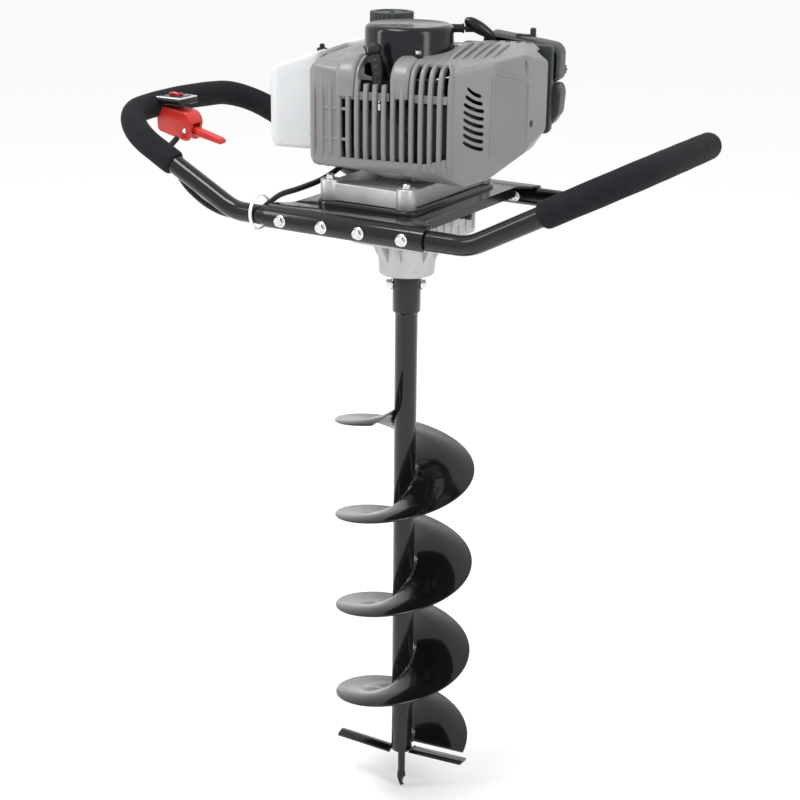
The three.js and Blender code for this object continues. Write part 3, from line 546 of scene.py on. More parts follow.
def drive_pin():
    """Bolt across the collar, with a flanged head, a washer and a nut."""
    place = CORD @ shift(0, 0, PIN_LEVEL) @ spin(90, "Y")
    shank = turned("drive_pin_bolt", [(0, -24), (4, -24), (4, 26.4), (3.4, 27), (0, 27)], 32, place)
    head = hexagon("head", 6.8, -28, -21.6, place)
    washer = drum("washer", M8_WASHER, -22, -20.2, 40, place)
    nut = hexagon("nut", 6.8, 21.4, 26, place)
    second = drum("washer", M8_WASHER, 19.8, 21.6, 40, place)
    stand_for(join(shank, head, washer, nut, second), "drive_pin", angle=25)


# ---- frame and handles
def handle_path(side):
    """Centre line of a loop handle: straight legs, a knee, a steady rise, round corners and a
    slightly bowed end."""
    knee, ease, slope = 178, 16, 0.523
    corner_x, corner, bow, reach = 314, 70, 4.4, 84

    def rise(x):
        if x < knee - ease:
            return 0.0
        if x > knee + ease:
            return slope * (x - knee)
        return slope * (x - knee + ease) ** 2 / (4 * ease)

    plan = [(x, -LEG_Y) for x in range(12, corner_x, 6)]
    for degrees in range(0, reach + 1, 4):
        turn = math.radians(degrees)
        plan.append((corner_x + corner * math.sin(turn), -LEG_Y + corner * (1 - math.cos(turn))))
    end_x, end_y = plan[-1]
    for i in range(1, 12):
        y = end_y * (1 - i / 12)
        plan.append((end_x + bow * (1 - (y / end_y) ** 2), y))
    whole = plan + [(end_x + bow, 0)] + [(x, -y) for x, y in plan[::-1]]
    return [Vector((side * x, y, rise(x))) for x, y in whole]


def lengths_along(path):
    """Length of a path up to each of its points."""
    lengths = [0.0]
    for i in range(1, len(path)):
        lengths.append(lengths[-1] + (path[i] - path[i - 1]).length)
    return lengths


def part_of_path(path, start, end):
    """The stretch of a path between two shares of its length."""
    lengths = lengths_along(path)
    low, high = start * lengths[-1], end * lengths[-1]
    result = [point_at(path, lengths, low)]
    result += [p for p, length in zip(path, lengths) if low + 1 < length < high - 1]
    result.append(point_at(path, lengths, high))
    return result


def point_at(path, lengths, distance):
    for i in range(1, len(path)):
        if lengths[i] >= distance:
            share = (distance - lengths[i - 1]) / (lengths[i] - lengths[i - 1])
            return path[i - 1].lerp(path[i], share)
    return path[-1]


def even(path, step):
    """The same path with points about `step` apart."""
    lengths = lengths_along(path)
    count = max(2, round(lengths[-1] / step))
    return [point_at(path, lengths, lengths[-1] * i / count) for i in range(count + 1)]


def handles():
    for side, name in ((-1, "left"), (1, "right")):
        path = handle_path(side)
        tube = swept("bent_tube_" + name, path, circle(HANDLE_TUBE, 36),
                     bore=circle(HANDLE_TUBE - HANDLE_WALL, 36))
        stand_for(tube, "handle_tube_" + name)

        step = 2.5
        grip_path = even(part_of_path(path, GRIP_FROM, GRIP_TO), step)
        total = step * (len(grip_path) - 1)

        def radius(distance):
            end = min(distance, max(0.0, total - distance))
            rounding = 2.2 * max(0.0, 1 - end / 5) ** 2
            return GRIP_RADIUS - rounding + 0.12 * math.sin(distance / 9)

        foam = swept("foam_" + name, grip_path, circle(radius, 40), bore=circle(HANDLE_TUBE + 0.1, 40))
        stand_for(foam, "grip_" + name)


def flange_bolt(node, place):
    seat = CHANNEL_OUTER + 0.3
    nut_seat = -HANDLE_TUBE - 0.3
    flange = turned(node + "_m8", [(0, seat), (8, seat), (8.1, seat + 0.7), (7, seat + 1.9),
                                   (0, seat + 1.9)], 48, place)
    head = hexagon("head", M8_HEAD, seat + 1.2, seat + 6.5, place)
    dish = turned("dish", [(0, seat + 6), (3.1, seat + 6.1), (4, seat + 7), (0, seat + 7)], 32, place)
    shank = turned("shank", [(0, -26), (3.4, -26), (4, -25.4), (4, seat + 2), (0, seat + 2)], 32, place)
    nut = hexagon("nut", M8_HEAD, nut_seat - 6, nut_seat - 0.8, place)
    washer = drum("washer", M8_WASHER, nut_seat - 1, nut_seat, 40, place)
    stand_for(cut(join(flange, head, shank, nut, washer), dish), node, angle=25)


def handle_bolts():
    for side, name in ((-1, "front"), (1, "rear")):
        for i, x in enumerate(BOLT_X):
            turn = spin(-90 * side, "X")
            place = shift(x, side * LEG_Y, 0) @ turn
            flange_bolt(f"handle_bolt_{name}_{i + 1}", place)


def channel_section(side):
    """Half-round wrap over the top and outer side of a handle leg, as (y, z) pairs."""
    angles = [math.radians(a) for a in range(96, -49, -6)]
    outer = [(CHANNEL_OUTER * math.cos(a), CHANNEL_OUTER * math.sin(a)) for a in angles]
    inner = [(CHANNEL_INNER * math.cos(a), CHANNEL_INNER * math.sin(a)) for a in angles[::-1]]
    return [(side * (LEG_Y + y), z) for y, z in outer + inner]


def frame_plate():
    """Pressed plate: two wraps for the handle legs, side bars with turned-down flanges and a raised
    platform for the gearbox."""
    length, waist, flare = 120, 100, 128
    corners = [(-length, -LEG_Y), (length, -LEG_Y), (length, 12 - LEG_Y), (waist, -flare), (waist, flare),
               (length, LEG_Y - 12), (length, LEG_Y), (-length, LEG_Y), (-length, LEG_Y - 12),
               (-waist, flare), (-waist, -flare), (-length, 12 - LEG_Y)]
    reach = [0, 0, 5, 16, 16, 5, 0, 0, 5, 16, 16, 5]
    sheet = slab("frame_plate_pressed", soft_corners(corners, reach), 13.6, 16.6)
    wraps = [slab("wrap", channel_section(side), -length, length, axis="x") for side in (-1, 1)]
    flanges = []
    for left in (-waist, waist - 3):
        flanges.append(slab("flange", rectangle(left, left + 3, -122, 122, 0.5), 3, 15))
    platform = slab("platform", rectangle(-77, 77, -115, 115, 22), 13.8, 21.4, 2.4)
    under = slab("under", rectangle(-74, 74, -112, 112, 19), 0, 18.4)
    opening = slab("opening", rectangle(-61, 61, -68, 103, 12), -30, 30)
    holes = []
    for side in (-1, 1):
        for x in BOLT_X:
            holes.append(rod("hole", (x, side * (LEG_Y - 25), 0), (x, side * (LEG_Y + 25), 0), 4.4))
    plate = cut(join(sheet, *wraps, *flanges, platform), under, opening, *holes)
    stand_for(soften(plate, 0.9, 40), "frame_plate", angle=40)


# ---- gearbox
def gearbox_housing():
    bottom, top = -45, 21.4
    box = slab("gearbox_casting", rectangle(-58, 58, -62, 98, 20), bottom, top, 2)
    boss = turned("boss", [(0, -92), (36.6, -92), (38, -90.6), (41, bottom + 1), (0, bottom + 1)], 72)
    gussets = []
    for degrees in (20, 75, 105, 160, 200, 255, 285, 340):
        turn = spin(degrees, "Z")
        gussets.append(slab("gusset", [(34, -82), (54, bottom + 1), (30, bottom + 1)], -3, 3, 0.0, "y", turn))
    webs = [cuboid("web", (57, y - 2, -39), (60.4, y + 2, 13), 0.8) for y in range(-40, 81, 20)]
    bracket = slab("bracket", rectangle(16, 46, -24, 10, 5), 57, 63, 1, "x")
    cavity = slab("cavity", rectangle(-43, 43, -43, 88, 40), bottom + 6, top + 1)
    shaft = rod("shaft", (0, 0, -93), (0, 0, bottom + 8), 13)
    pocket = rod("pocket", (0, 0, -80), (0, 0, bottom + 8), 24.4)
    pivot = rod("pivot", (0, LAYSHAFT_Y, bottom + 2), (0, LAYSHAFT_Y, bottom + 8), 5.1)
    casting = cut(join(box, boss, *gussets, *webs, bracket), cavity, shaft, pocket, pivot)
    stand_for(soften(casting, 0.7, 40), "gearbox_housing", angle=40)

    facing = spin(90, "Y")
    screw_place = shift(63, 26.6, -5) @ facing
    screw = join(hexagon("bracket_screw", 4.6, 0.8, 4.6, screw_place),
                 turned("flange", [(0, 0), (6, 0), (6, 0.8), (5, 1.4), (0, 1.4)], 40, screw_place))
    add_on(screw, "frame", "zinc_fastener", 25)
    plug_place = shift(63, 38, -12) @ facing
    plug = turned("filler_plug", [(0, 0), (5, 0), (5, 1), (3.6, 1.4), (3.6, 6), (4.6, 6.6), (4.6, 13),
                                  (3.8, 14), (0, 14)],
                  32, plug_place)
    add_on(plug, "frame", "black_rubber")


def gearbox_cover():
    half_x, half_y, bottom, top = 64, 106, 21.8, 45
    cover = slab("gearbox_lid", rectangle(-half_x, half_x, -half_y, half_y, 14), bottom, top, 1.6)
    hollow = slab("hollow", rectangle(6 - half_x, half_x - 6, 12 - half_y, half_y - 12, 8), bottom - 1,
                  top - 5)
    lid = cut(cover, hollow)
    posts = [drum("post", 20, bottom, top - 1, 48),
             drum("post", 14, bottom, top - 1, 48, shift(0, LAYSHAFT_Y, 0))]
    holes = [rod("shaft", (0, 0, bottom - 1), (0, 0, top + 1), 8.4),
             rod("pivot", (0, LAYSHAFT_Y, bottom - 1), (0, LAYSHAFT_Y, bottom + 6), 5.1)]
    corner = [(0, bottom), (12.6, bottom), (13.2, bottom + 1), (12.8, top + 3), (12, top + 4), (0, top + 4)]
    bosses = []
    for number, (x, y) in enumerate(COVER_SCREWS, 1):
        place = shift(x, y, 0)
        bosses.append(turned("corner", corner, 48, place))
        holes.append(rod("hole", (x, y, bottom - 1), (x, y, top + 5), 3.4))
        cover_screw(f"cover_screw_{number}", place, top + 4.3)
    stand_for(soften(cut(join(lid, *posts, *bosses), *holes), 0.6, 40), "gearbox_cover", angle=40)


def cover_screw(node, place, seat):
    """Socket-head screw on a washer."""
    shank = drum(node + "_m6", 3, 24, seat + 1, 24, place)
    washer = drum("washer", 6.6, seat, seat + 1.1, 40, place)
    head = turned("head", [(0, seat + 1), (5, seat + 1), (5, seat + 4.9), (4.4, seat + 5.5),
                           (0, seat + 5.5)], 40, place)
    socket = slab("socket", polygon(6, 2.9), seat + 2.4, seat + 7, place=place)
    stand_for(cut(join(shank, washer, head), socket), node, angle=25)


def clutch_housing():
    """Pale round bell between the gearbox and the engine, with a lug on its rim."""
    bell = [(40, 45.4), (43.4, 45.4), (44, 46), (44, 50), (57, 50), (59.4, 51), (60, 53), (60, 61),
            (59.2, 63.4), (57, 64), (40, 64)]
    housing = turned("clutch_bell", bell, 96, ENGINE)
    turn = ENGINE @ spin(-61, "Z")
    lug = cuboid("lug", (54, -7, 47), (63, 7, 64), 1.4, turn)
    stand_for(join(housing, lug), "clutch_housing", angle=30)


# ---- shroud
SHROUD_PLAN = [(-105, 62), (-106, -60), (-109, -80), (-100, -93), (-84, -97), (-30, -102), (30, -103),
               (76, -101), (91, -95), (132, -60), (164, -4), (180, 50), (176, 62)]
SHROUD_FRONT = [(-110, 74), (-98, 68), (-20, 65), (20, 64), (44, 56), (100, 50), (128, 58), (160, 84),
                (176, 108), (184, 135), (184, 184), (176, 198), (150, 219), (96, 219), (60, 214),
                (-60, 214), (-92, 205), (-110, 188)]
SHROUD_SIDE = [(-82, 50), (62, 50), (62, 219), (20, 215), (-62, 206), (-86, 201), (-99, 192), (-104, 178),
               (-106, 150), (-106, 80), (-98, 62)]


def shroud_block(name, distance):
    """Where the three outlines of the shroud meet, all moved inwards by a distance."""
    plan, front, side = [inset(anticlockwise(o), distance) for o in (SHROUD_PLAN, SHROUD_FRONT, SHROUD_SIDE)]
    return common(slab(name, plan, 30, 240, place=ENGINE), slab("front", front, -120, 80, 0.0, "y", ENGINE),
                  slab("side", side, -130, 200, 0.0, "x", ENGINE))


def shroud_front_at(x):
    """Distance of the shroud's front face from the axis at x, read off its plan."""
    front = [p for p in SHROUD_PLAN if p[1] < -75]
    for (x0, y0), (x1, y1) in zip(front, front[1:]):
        if x0 <= x <= x1:
            return y0 + (y1 - y0) * (x - x0) / (x1 - x0)
    return front[-1][1]


def shroud_fin(x):
    """Round-backed rib that rises from the lower lip, turns over the top edge and runs back."""
    front = shroud_front_at(x)
    lip = 67 if x < 20 else 67 - (x - 20) * 0.2
    ahead = front - 0.6
    corners = [(x, ahead + 26, lip - 3), (x, ahead + 12, lip), (x, ahead + 1.5, lip + 12),
               (x, ahead, lip + 30), (x, ahead, 158), (x, ahead + 2.5, 180), (x, ahead + 9, 195),
               (x, ahead + 26, 202), (x, -62, 204.5), (x, -52, 204)]
    path = even(soft_corners(corners, [0, 12, 12, 20, 20, 12, 12, 12, 4, 0], False, 8), 3)
    section = [(-2.9, -7), (2.9, -7), (2.9, 0), (2.3, 1.3), (1.2, 2.0), (0, 2.2), (-1.2, 2.0), (-2.3, 1.3),
               (-2.9, 0)]
    return swept("fin", path, lambda distance: section, up=(0, -1, 0), place=ENGINE)


def shroud_window():
    """Opening that the fins cross: the front face above the lip and a little of the top."""
    first = FIN_FIRST + 3 * FIN_PITCH
    last = FIN_FIRST + (FIN_COUNT - 1) * FIN_PITCH
    front = slab("window", soft_corners([(first, 81), (56, 80), (last, 88), (last, 240), (first, 240)], 3),
                 -130, -72, 0.0, "y", ENGINE)
    band = cuboid("band", (-110, -99, 156), (110, -60, 166), 0.0, ENGINE)
    rear = cuboid("top_limit", (-110, -79, 180), (110, 90, 250), 0.0, ENGINE)
    return cut(front, band, rear)


def louvre_place(level):
    """Frame on the slanting corner panel: x along the panel, y up, z outwards."""
    turn = math.radians(40)
    along, outward = Vector((math.cos(turn), math.sin(turn), 0)), Vector((math.sin(turn), -math.cos(turn), 0))
    rows = [[along.x, 0, outward.x, 111], [along.y, 0, outward.y, -77], [0, 1, 0, level], [0, 0, 0, 1]]
    return ENGINE @ Matrix(rows)


def louvre(i):
    """Curved slot with round ends, slanting down to the right."""
    half, droop = 13 - max(0, i - 5) * 2.2, 5
    arc = [Vector((half * t, -droop * t + 1.8 * t * t)) for t in (-1, -0.6, -0.2, 0.2, 0.6, 1)]
    upper = [p + Vector((0, 2.5)) for p in arc]
    lower = [p - Vector((0, 2.5)) for p in arc]
    right_end = arc[-1] + Vector((1.9, -0.4))
    left_end = arc[0] + Vector((-1.9, 0.4))
    outline = soft_corners(lower + [right_end] + upper[::-1] + [left_end], 1.0, steps=3)
    return slab("louvre", outline, -20, 20, place=louvre_place(LOUVRE_LOWEST + i * LOUVRE_PITCH))


def shroud_lobe(x):
    """Raised round lobe beside the notch for the spark plug's boot."""
    corners = [(x, -100, 160), (x, -101, 188), (x, -88, 201), (x, -70, 205), (x, -56, 206)]
    path = even(soft_corners(corners, [0, 14, 12, 10, 0], False, 8), 4)
    section = [(p.x, p.y) for p in rectangle(-13, 13, -12, 2.5, 6, 4)]
    return swept("lobe", path, lambda distance: section, up=(0, -1, 0), place=ENGINE)


def shroud():
    outer = moulded(shroud_block("shroud_moulding", 0), 2.2, 7)
    inner = shroud_block("inner", SHROUD_WALL)
    rear = cuboid("rear", (-101, 40, 20), (200, 80, 210), 0.0, ENGINE)
    under = common(cuboid("under", (-101, -64, 20), (170, 80, 78), 0.0, ENGINE),
                   slab("plan", inset(anticlockwise(SHROUD_PLAN), SHROUD_WALL), 0, 90, place=ENGINE))
    shell = cut(outer, inner, rear, under, shroud_window())
    fins = [shroud_fin(FIN_FIRST + i * FIN_PITCH) for i in range(FIN_COUNT)]
    bars = []
    for level in (104, 143):
        ends = [(x, shroud_front_at(x) + 1.4, level) for x in (-104, -84, -48)]
        bars += [rod("bar", start, end, 2.2, ENGINE) for start, end in zip(ends, ends[1:])]
    lobes = [shroud_lobe(x) for x in (-53, 20)]
    ribs = [top_rib(i) for i in range(5)]
    edges = [panel_edge((87, -95.6, 84), (87, -95.6, 196)), panel_edge((129.5, -61, 84), (130.5, -60, 190)),
             panel_edge((162.5, -5, 100), (162.5, -5, 178)), panel_edge((131, -60, 194), (162, -6, 178))]
    whole = join(shell, *fins, *bars, *lobes, *ribs, *edges)
    holes = [louvre(i) for i in range(LOUVRE_COUNT)]
    holes.append(rod("starter_hole", (0, 0, 160), (0, 0, 250), STARTER_RADIUS + 1.2, ENGINE, 96))
    holes.append(slab("boot_notch", rectangle(-36, 8, 176, 250, 10), -130, -57, 0.0, "y", ENGINE))
    holes.append(screw_recess())
    holes += [small_notch(i) for i in range(4)]
    holes.append(pocket())
    stand_for(cut(whole, *holes), "shroud", angle=38)


def painted_shade_sheets():
    """Dark sheets behind the grille, put there as painted shade to darken the gaps between the fins."""
    left = cuboid("painted_shade_sheet_left", (-99, -50, 70), (-62, -48, 200), 0.6, ENGINE)
    inner = cuboid("painted_shade_sheet_inner", (-61.6, -50, 70), (-47, -48, 146), 0.6, ENGINE)
    middle = cuboid("painted_shade_sheet_middle", (-61, -66, 150), (61, -64, 176), 0.6, ENGINE)
    right = cuboid("painted_shade_sheet_right", (52, -10, 90), (130, -8, 176), 0.6, ENGINE)
    upper = cuboid("painted_shade_sheet_upper", (63, -10, 176.4), (130, -8, 196), 0.6, ENGINE)
    # painted shade: dark sheets that darken the gaps behind the grille
    for sheet in (left, inner, middle, right, upper):
        add_on(sheet, "frame", "dark_plastic")


def panel_edge(start, end):
    """Rounded ridge where two panels meet, its ends turned into the surface."""
    inward = Vector((-0.5, 0.75, 0)) * 9
    start, end = Vector(start), Vector(end)
    along = (end - start).normalized() * 10
    corners = [start + inward - along, start, end, end + inward + along]
    path = even(soft_corners(corners, 10, False, 8), 3)
    return swept("panel_edge", path, circle(2.4, 16), up=(1, 0.3, 0), place=ENGINE)


def top_rib(i):
    """Curved rib on top of the shroud, to the right of the starter."""
    x = 74 + i * 12
    start = -60 + i * 4
    corners = [(x, start, 204), (x, start + 8, 208.5), (x + 1, -10, 213.5), (x + 2, 30, 216.6),
               (x + 2, 46, 214)]
    path = even(soft_corners(corners, [0, 6, 10, 10, 0], False, 8), 4)
    return swept("rib", path, circle(2.6, 12), up=(1, 0, 0), place=ENGINE)


def screw_recess():
    place = on_engine(172, 4, 123) @ spin(79, "Y")
    return drum("recess", 5, -9, 12, 32, place)


def small_notch(i):
    x = 101 + i * 14
    return cuboid("notch", (x, 50, 212), (x + 7, 58, 230), 0.0, ENGINE)


def pocket():
    """Three-cornered hollow in the sloping shoulder at the right end."""
    corners = [Vector((149, -12, 206)), Vector((184, -1, 189)), Vector((166, -10, 180))]
    inward = Vector((-0.62, 0.25, -0.74)) * 5
    rings = [[p + inward * share for p in corners] for share in (-1.2, 0.9)]
    return skin("pocket", rings, ENGINE)


# ---- starter
def starter_housing():
    radius, bottom, top = STARTER_RADIUS, 178, STARTER_TOP
    cup = [(0, top - 1.2), (1.6, top - 1.2), (2.2, top - 0.4), (49, top - 0.4), (50, top), (52, top),
           (52.8, top - 0.5), (54, top - 0.9), (56, top - 2.2), (57.6, top - 4.4), (58.2, top - 8),
           (58.6, bottom + 22), (59, bottom + 21), (radius, bottom), (56, bottom), (55, top - 8),
           (53, top - 3.4), (0, top - 3.4)]
    shell = turned("starter_cup", cup, 96, CORD)
    post = drum("post", 5, CORD_LEVEL - 12, top - 2, 32, CORD)
    guide = rod("guide", on_cord(52.5), on_cord(70), 5.5, CORD)
    collar = rod("collar", on_cord(69), on_cord(72), 6.4, CORD)
    bore = rod("bore", on_cord(30), on_cord(80), 3.2, CORD)
    housing = cut(join(shell, post, guide, collar), bore)
    stand_for(housing, "starter_housing", angle=28)
    for degrees in EAR_TURNS:
        place = ENGINE @ spin(degrees, "Z")
        tab = rectangle(57.5, 71, -6, 6, 5)
        ear = slab("starter_ear_%d" % (degrees % 360), tab, 206, EAR_TOP, 0.8, place=place)
        add_on(ear, "frame", "gloss_black_plastic")
        seat = place @ shift(65.4, 0, EAR_TOP)
        head = hexagon("starter_screw_%d" % (degrees % 360), 4.2, 0, 4, seat)
        add_on(head, "frame", "zinc_fastener", 25)


def starter_handle():
    """Leaf-shaped grip across the end of the cord."""
    leaf = [(0, -25), (2.4, -24), (4.6, -20), (6.6, -12), (8, -3), (8.5, 4), (8.1, 12), (6.6, 18),
            (3.6, 22.6), (0, 24)]
    tilt = Matrix.Translation(on_cord(GRIP_X)) @ spin(-60, "Y")
    grip = turned("starter_grip", leaf, 48, CORD @ tilt)
    neck = rod("neck", on_cord(GRIP_X - 20), on_cord(GRIP_X - 2), 5, CORD)
    bore = rod("bore", on_cord(GRIP_X - 28), on_cord(GRIP_X + 3), 2.9, CORD)
    stand_for(cut(join(grip, neck), bore), "starter_handle")


def starter_cord():
    """Cord from the pulley to the grip."""
    path = [Vector(on_cord(x)) for x in range(2, GRIP_X + 1)]

    def braid(distance):
        swell = 1.9 + 0.1 * math.sin(distance * TAU / 3)
        return [(p.x, p.y) for p in polygon(12, swell)]

    cord = swept("starter_cord_braid", path, braid, place=CORD)
    shade(cord)
    cord.data.materials.append(MATERIALS["black_cord"])
    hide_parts("starter_cord")
    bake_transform(cord)


# ---- fuel tank and air cleaner
TANK_PLAN = [(-186, -30), (-176, -42), (-110, -42), (-110, 66), (-8, 66), (-8, 122), (-174, 122),
             (-186, 110)]
TANK_FRONT = [(-186, 86), (-176, 76), (-8, 76), (-8, 214), (-84, 214), (-112, 206), (-176, 184),
              (-186, 174)]


def fuel_tank():
    """Blow-moulded tank with a seam round its middle and a threaded neck."""
    plan = anticlockwise(soft_corners(TANK_PLAN, 8))
    tank = common(slab("fuel_tank_moulding", plan, 30, 240, place=ENGINE),
                  slab("front", TANK_FRONT, -60, 140, 0.0, "y", ENGINE))
    tank = moulded(tank, 2.6, 8)
    seam = slab("seam", inset(plan, 0.1), 127.6, 129.2, place=ENGINE)
    threads = [(0, 200), (20.6, 200), (20.6, 213), (22, 214), (20.6, 215), (22, 216), (20.6, 217),
               (22, 218), (20.6, 219), (22, 220), (20.6, 221), (20.6, 223), (18, 223), (18, 204), (0, 204)]
    neck = turned("neck", threads, 64, on_engine(TANK_NECK_X, TANK_NECK_Y, 0))
    stand_for(join(tank, seam, neck), "fuel_tank", angle=40)
    fitting_place = on_engine(-118, -10, 203.5)
    fitting = turned("tank_fitting", [(0, -3), (7, -3), (7, 2), (5, 3), (3.4, 3.4), (3.4, 7), (2.6, 8),
                                      (0, 8)], 32, fitting_place)
    add_on(fitting, "frame", "black_rubber")


def fuel_cap():
    bottom, top = 219.5, 247
    place = on_engine(TANK_NECK_X, TANK_NECK_Y, 0)
    flutes = 30
    outline = []
    for i in range(flutes * 6):
        angle = TAU * i / (flutes * 6)
        radius = 29.4 + 0.6 * math.cos(flutes * angle)
        outline.append(Vector((radius * math.cos(angle), radius * math.sin(angle))))
    cap = slab("fuel_cap_fluted", outline, bottom, top, 1.6, place=place)
    dish = turned("dish", [(0, top - 1.6), (22, top - 1.6), (24, top + 1), (0, top + 1)], 64, place)
    vent = drum("vent", 3, top - 2, top - 0.2, 24, place)
    hollow = drum("hollow", 22.8, bottom - 1, 223.6, 64, place)
    stand_for(cut(join(cut(cap, dish), vent), hollow), "fuel_cap")


def air_cleaner():
    plate = slab("air_cleaner_backplate", rectangle(50, 176, 98, 214, 8), 66, 82, 2, "y", ENGINE)
    bulge = soft_corners([(150, 112), (172, 104), (184, 122), (186, 150), (182, 161), (150, 161)], 5)
    chamber = slab("chamber", bulge, 80, 118, 3, "y", ENGINE)
    duct_start = Vector((84, 42, CYLINDER_Z + 20))
    duct = rod("duct", duct_start, duct_start + Vector((18.8, 28.4, 0)), 9, ENGINE)
    carburettor_side = cuboid("side", (50, 10, 80), (86.4, 46.4, 124.4), 0.0, ENGINE)
    stand_for(join(plate, chamber, cut(duct, carburettor_side)), "air_cleaner_base")

    outline = soft_corners([(76, 164), (182, 164), (182, 204), (174, 213), (84, 226), (76, 220)],
                           [6, 8, 8, 8, 8, 8])
    cover = slab("air_cleaner_lid", outline, 82.4, 126, 5, "y", ENGINE)
    hollow = slab("hollow", inset(anticlockwise(outline), 4), 70, 121, 0.0, "y", ENGINE)
    hole = rod("hole", (LID_SCREW_X, 100, LID_SCREW_Z), (LID_SCREW_X, 140, LID_SCREW_Z), 3.4, ENGINE)
    lid = cut(cover, hollow, hole)
    stand_for(lid, "air_cleaner_cover")

    spindle = rod("air_cleaner_spindle", (LID_SCREW_X, 84, LID_SCREW_Z), (LID_SCREW_X, 128, LID_SCREW_Z),
                  3, ENGINE)
    facing = on_engine(LID_SCREW_X, 0, LID_SCREW_Z) @ spin(-90, "X")
    lobes = [Vector((math.cos(TAU * i / 60), math.sin(TAU * i / 60))) *
             (8.4 + 0.6 * math.cos(10 * TAU * i / 60))
             for i in range(60)]
    knob = slab("knob", lobes, 126.4, 138, 1.2, place=facing)
    stand_for(join(spindle, knob), "air_cleaner_knob")


def choke_lever():
    pin = rod("choke_lever_arm", (124, 92, 221.3), (124, 92, 225), 3.4, ENGINE)
    arm = slab("arm", rectangle(119.6, 147.4, 87.6, 96.4, 4), 221.7, 224.4, 0.6, place=ENGINE)
    stub = rod("stub", (143, 92, 224), (143, 92, 233.2), 4, ENGINE, edge=1.6)
    stand_for(join(pin, arm, stub), "choke_lever")


def plug_boot():
    """Rubber boot on the spark plug: a stem that leans back and a round head."""
    ball = 9
    corners = [(PLUG_X, PLUG_Y, 157.4), (PLUG_X, PLUG_Y, 180), (PLUG_X - 13, PLUG_Y + 19, 224)]
    step = 1.5
    path = even(soft_corners(corners, 14, False, 8), step)
    length = step * (len(path) - 1)

    def radius(distance):
        left = length - distance
        if ball <= left <= 12:
            return ball - (left - ball) * 0.3
        if left < 17:
            return math.sqrt(max(0.01, ball ** 2 - (left - ball) ** 2))
        return 7.5 + 0.3 * math.cos(distance * TAU / 9)

    boot = swept("spark_plug_cap", path, circle(radius, 32), up=(0, 1, 0), place=ENGINE)
    hole = rod("hole", (PLUG_X, PLUG_Y, 150), (PLUG_X, PLUG_Y, 172), 5.4, ENGINE)
    stand_for(cut(boot, hole), "spark_plug_boot", angle=50)


# ---- controls
def throttle():
    outline = [(-378, 74), (-324, 62), (-316, 91), (-324, 104), (-378, 111)]
    housing = slab("throttle_body", soft_corners(outline, 7), -64, -34, 3, "y")
    slot_cut = cuboid("slot", (-352, -57, 50), (-286, -41, 88))
    path = even(part_of_path(handle_path(-1), GRIP_FROM, GRIP_TO), 4)
    saddle = swept("saddle", path, circle(GRIP_RADIUS + 0.3, 48))
    stand_for(cut(housing, slot_cut, saddle), "throttle_housing")

    outline = [(-334, 78), (-324, 84), (-274, 71.6), (-269.6, 67), (-273, 62.6), (-324, 72)]
    lever = slab("throttle_lever", soft_corners(outline, [3, 4, 3, 3, 3, 6]), -55, -43, 2, "y")
    stand_for(lever, "throttle_trigger")
    pin = rod("lever_pin", (-328, -66, 78), (-328, -32, 78), 3.2, edge=0.8)
    add_on(pin, "frame", "zinc_fastener")

    box = cuboid("switch_case", (-374, -70, 112.6), (-330, -28, 121), 2)
    pocket_low, pocket_high = (-361.6, -57.6, 120.8), (-342.4, -42.4, 126)
    second = swept("saddle", path, circle(GRIP_RADIUS + 0.3, 48))
    stand_for(cut(box, second), "switch_box")
    bezel = cuboid("switch_bezel", (-373, -69, 121), (-331, -29, 123.4), 1)
    add_on(cut(bezel, cuboid("pocket", pocket_low, pocket_high)), "frame", "zinc_fastener")
    centre = cuboid("switch_centre", (-369, -62, 123.2), (-335, -38, 124.2), 0.4)
    add_on(cut(centre, cuboid("pocket", pocket_low, pocket_high)), "frame", "gloss_black_plastic")
    outline = [(-360, 124.3), (-344, 124.3), (-344, 128), (-352, 126.4), (-360, 128)]
    rocker = slab("rocker_key", soft_corners(outline, 0.8), -56, -44, 0.8, "y")
    stand_for(rocker, "switch_rocker")


def smooth_route(route, steps=12):
    """Curve through given points."""
    points = [Vector(p) for p in route]
    points = [2 * points[0] - points[1]] + points + [2 * points[-1] - points[-2]]
    result = []
    for a, b, c, d in zip(points, points[1:], points[2:], points[3:]):
        for i in range(steps):
            t = i / steps
            result.append(0.5 * (2 * b + (c - a) * t + (2 * a - 5 * b + 4 * c - d) * t ** 2
                                 + (3 * b - a - 3 * c + d) * t ** 3))
    result.append(points[-2])
    return result


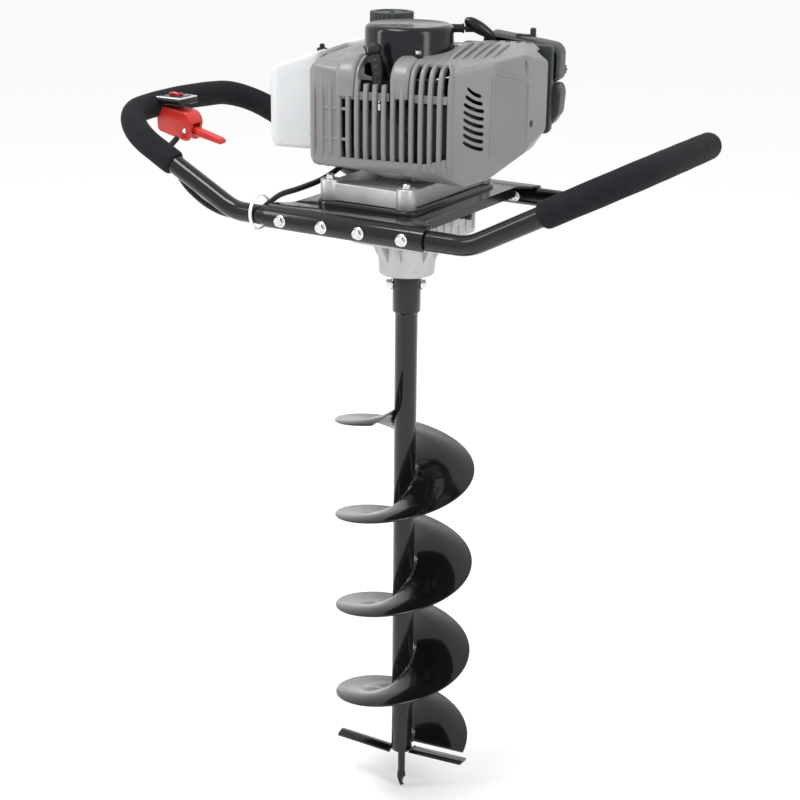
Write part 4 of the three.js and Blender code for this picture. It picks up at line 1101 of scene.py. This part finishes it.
def throttle_conduit():
    """Corrugated conduit for the throttle cable and the switch leads."""
    route = [(-338, -70, 67), (-327, -98, 60), (-302, -127, 47), (-286, -130, 30), (-268, -131, 13),
             (-238, -131, -4), (-205, -131, -12), (-175, -131, -8), (-150, -131, 1), (-135, -129, 13),
             (-124, -118, 23), (-114, -90, 27), (-104, -50, 34), (-92, -14, 50), (-80, 12, 68),
             (-62, 40, 84), (-34, 53, 98), (8, 61.3, 105), (34.4, 67.4, 105)]
    pitch = 2.8
    path = even(smooth_route(route), pitch / 4)
    ripple = circle(lambda distance: 3.6 + 0.5 * math.cos(distance * TAU / pitch), 14)
    stand_for(swept("corrugated_conduit", path, ripple), "throttle_conduit", angle=80)


def cable_tie():
    place = shift(-141, -143.5, 2) @ spin(90, "Y")
    band = turned("cable_tie_band", [(21.6, -2), (23.1, -2), (23.4, -1.7), (23.4, 1.7), (23.1, 2),
                                     (21.6, 2)], 72, place)
    lock_place = place @ spin(-35, "Z")
    lock = cuboid("lock", (21.8, -3, -3), (25.6, 3, 3), 0.8, lock_place)
    tail = cuboid("tail", (22.2, 2, -1.6), (23.8, 9, 1.6), 0.4, lock_place)
    stand_for(join(band, lock, tail), "cable_tie")


# ---- pieces kept from the CAD
BEHIND_FINS = ("cylinder", "crankcase", "muffler", "carburettor")    # castings inside the shroud, darkened as painted shade


def dress_kept_nodes():
    """Inner pieces keep their CAD shape, with their edges eased and their own finish; those behind the fins
    get a darkened copy of cast aluminium as painted shade.
    """
    for node, obj in frame["nodes"].items():
        if obj.hide_render or obj.get("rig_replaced"):
            continue
        obj.data.materials.clear()
        # painted shade: the castings behind the fins get the darkened copy of cast aluminium
        finish = "painted_shade_casting" if node in BEHIND_FINS else SLOT_OF[node]
        obj.data.materials.append(MATERIALS[finish])
        bevel = obj.modifiers.new("ease", "BEVEL")
        bevel.width = 0.3 * MM
        bevel.limit_method = "ANGLE"
        bevel.angle_limit = math.radians(40)


place_camera()
MATERIALS = make_materials()
dress_studio()

auger_tube()
auger_flight()
cutters()
pilot_point()
drive_pin()

frame_plate()
handles()
handle_bolts()

gearbox_housing()
gearbox_cover()
clutch_housing()

shroud()
painted_shade_sheets()
starter_housing()
starter_handle()
starter_cord()
plug_boot()
fuel_tank()
fuel_cap()
air_cleaner()
choke_lever()

throttle()
throttle_conduit()
cable_tie()
dress_kept_nodes()
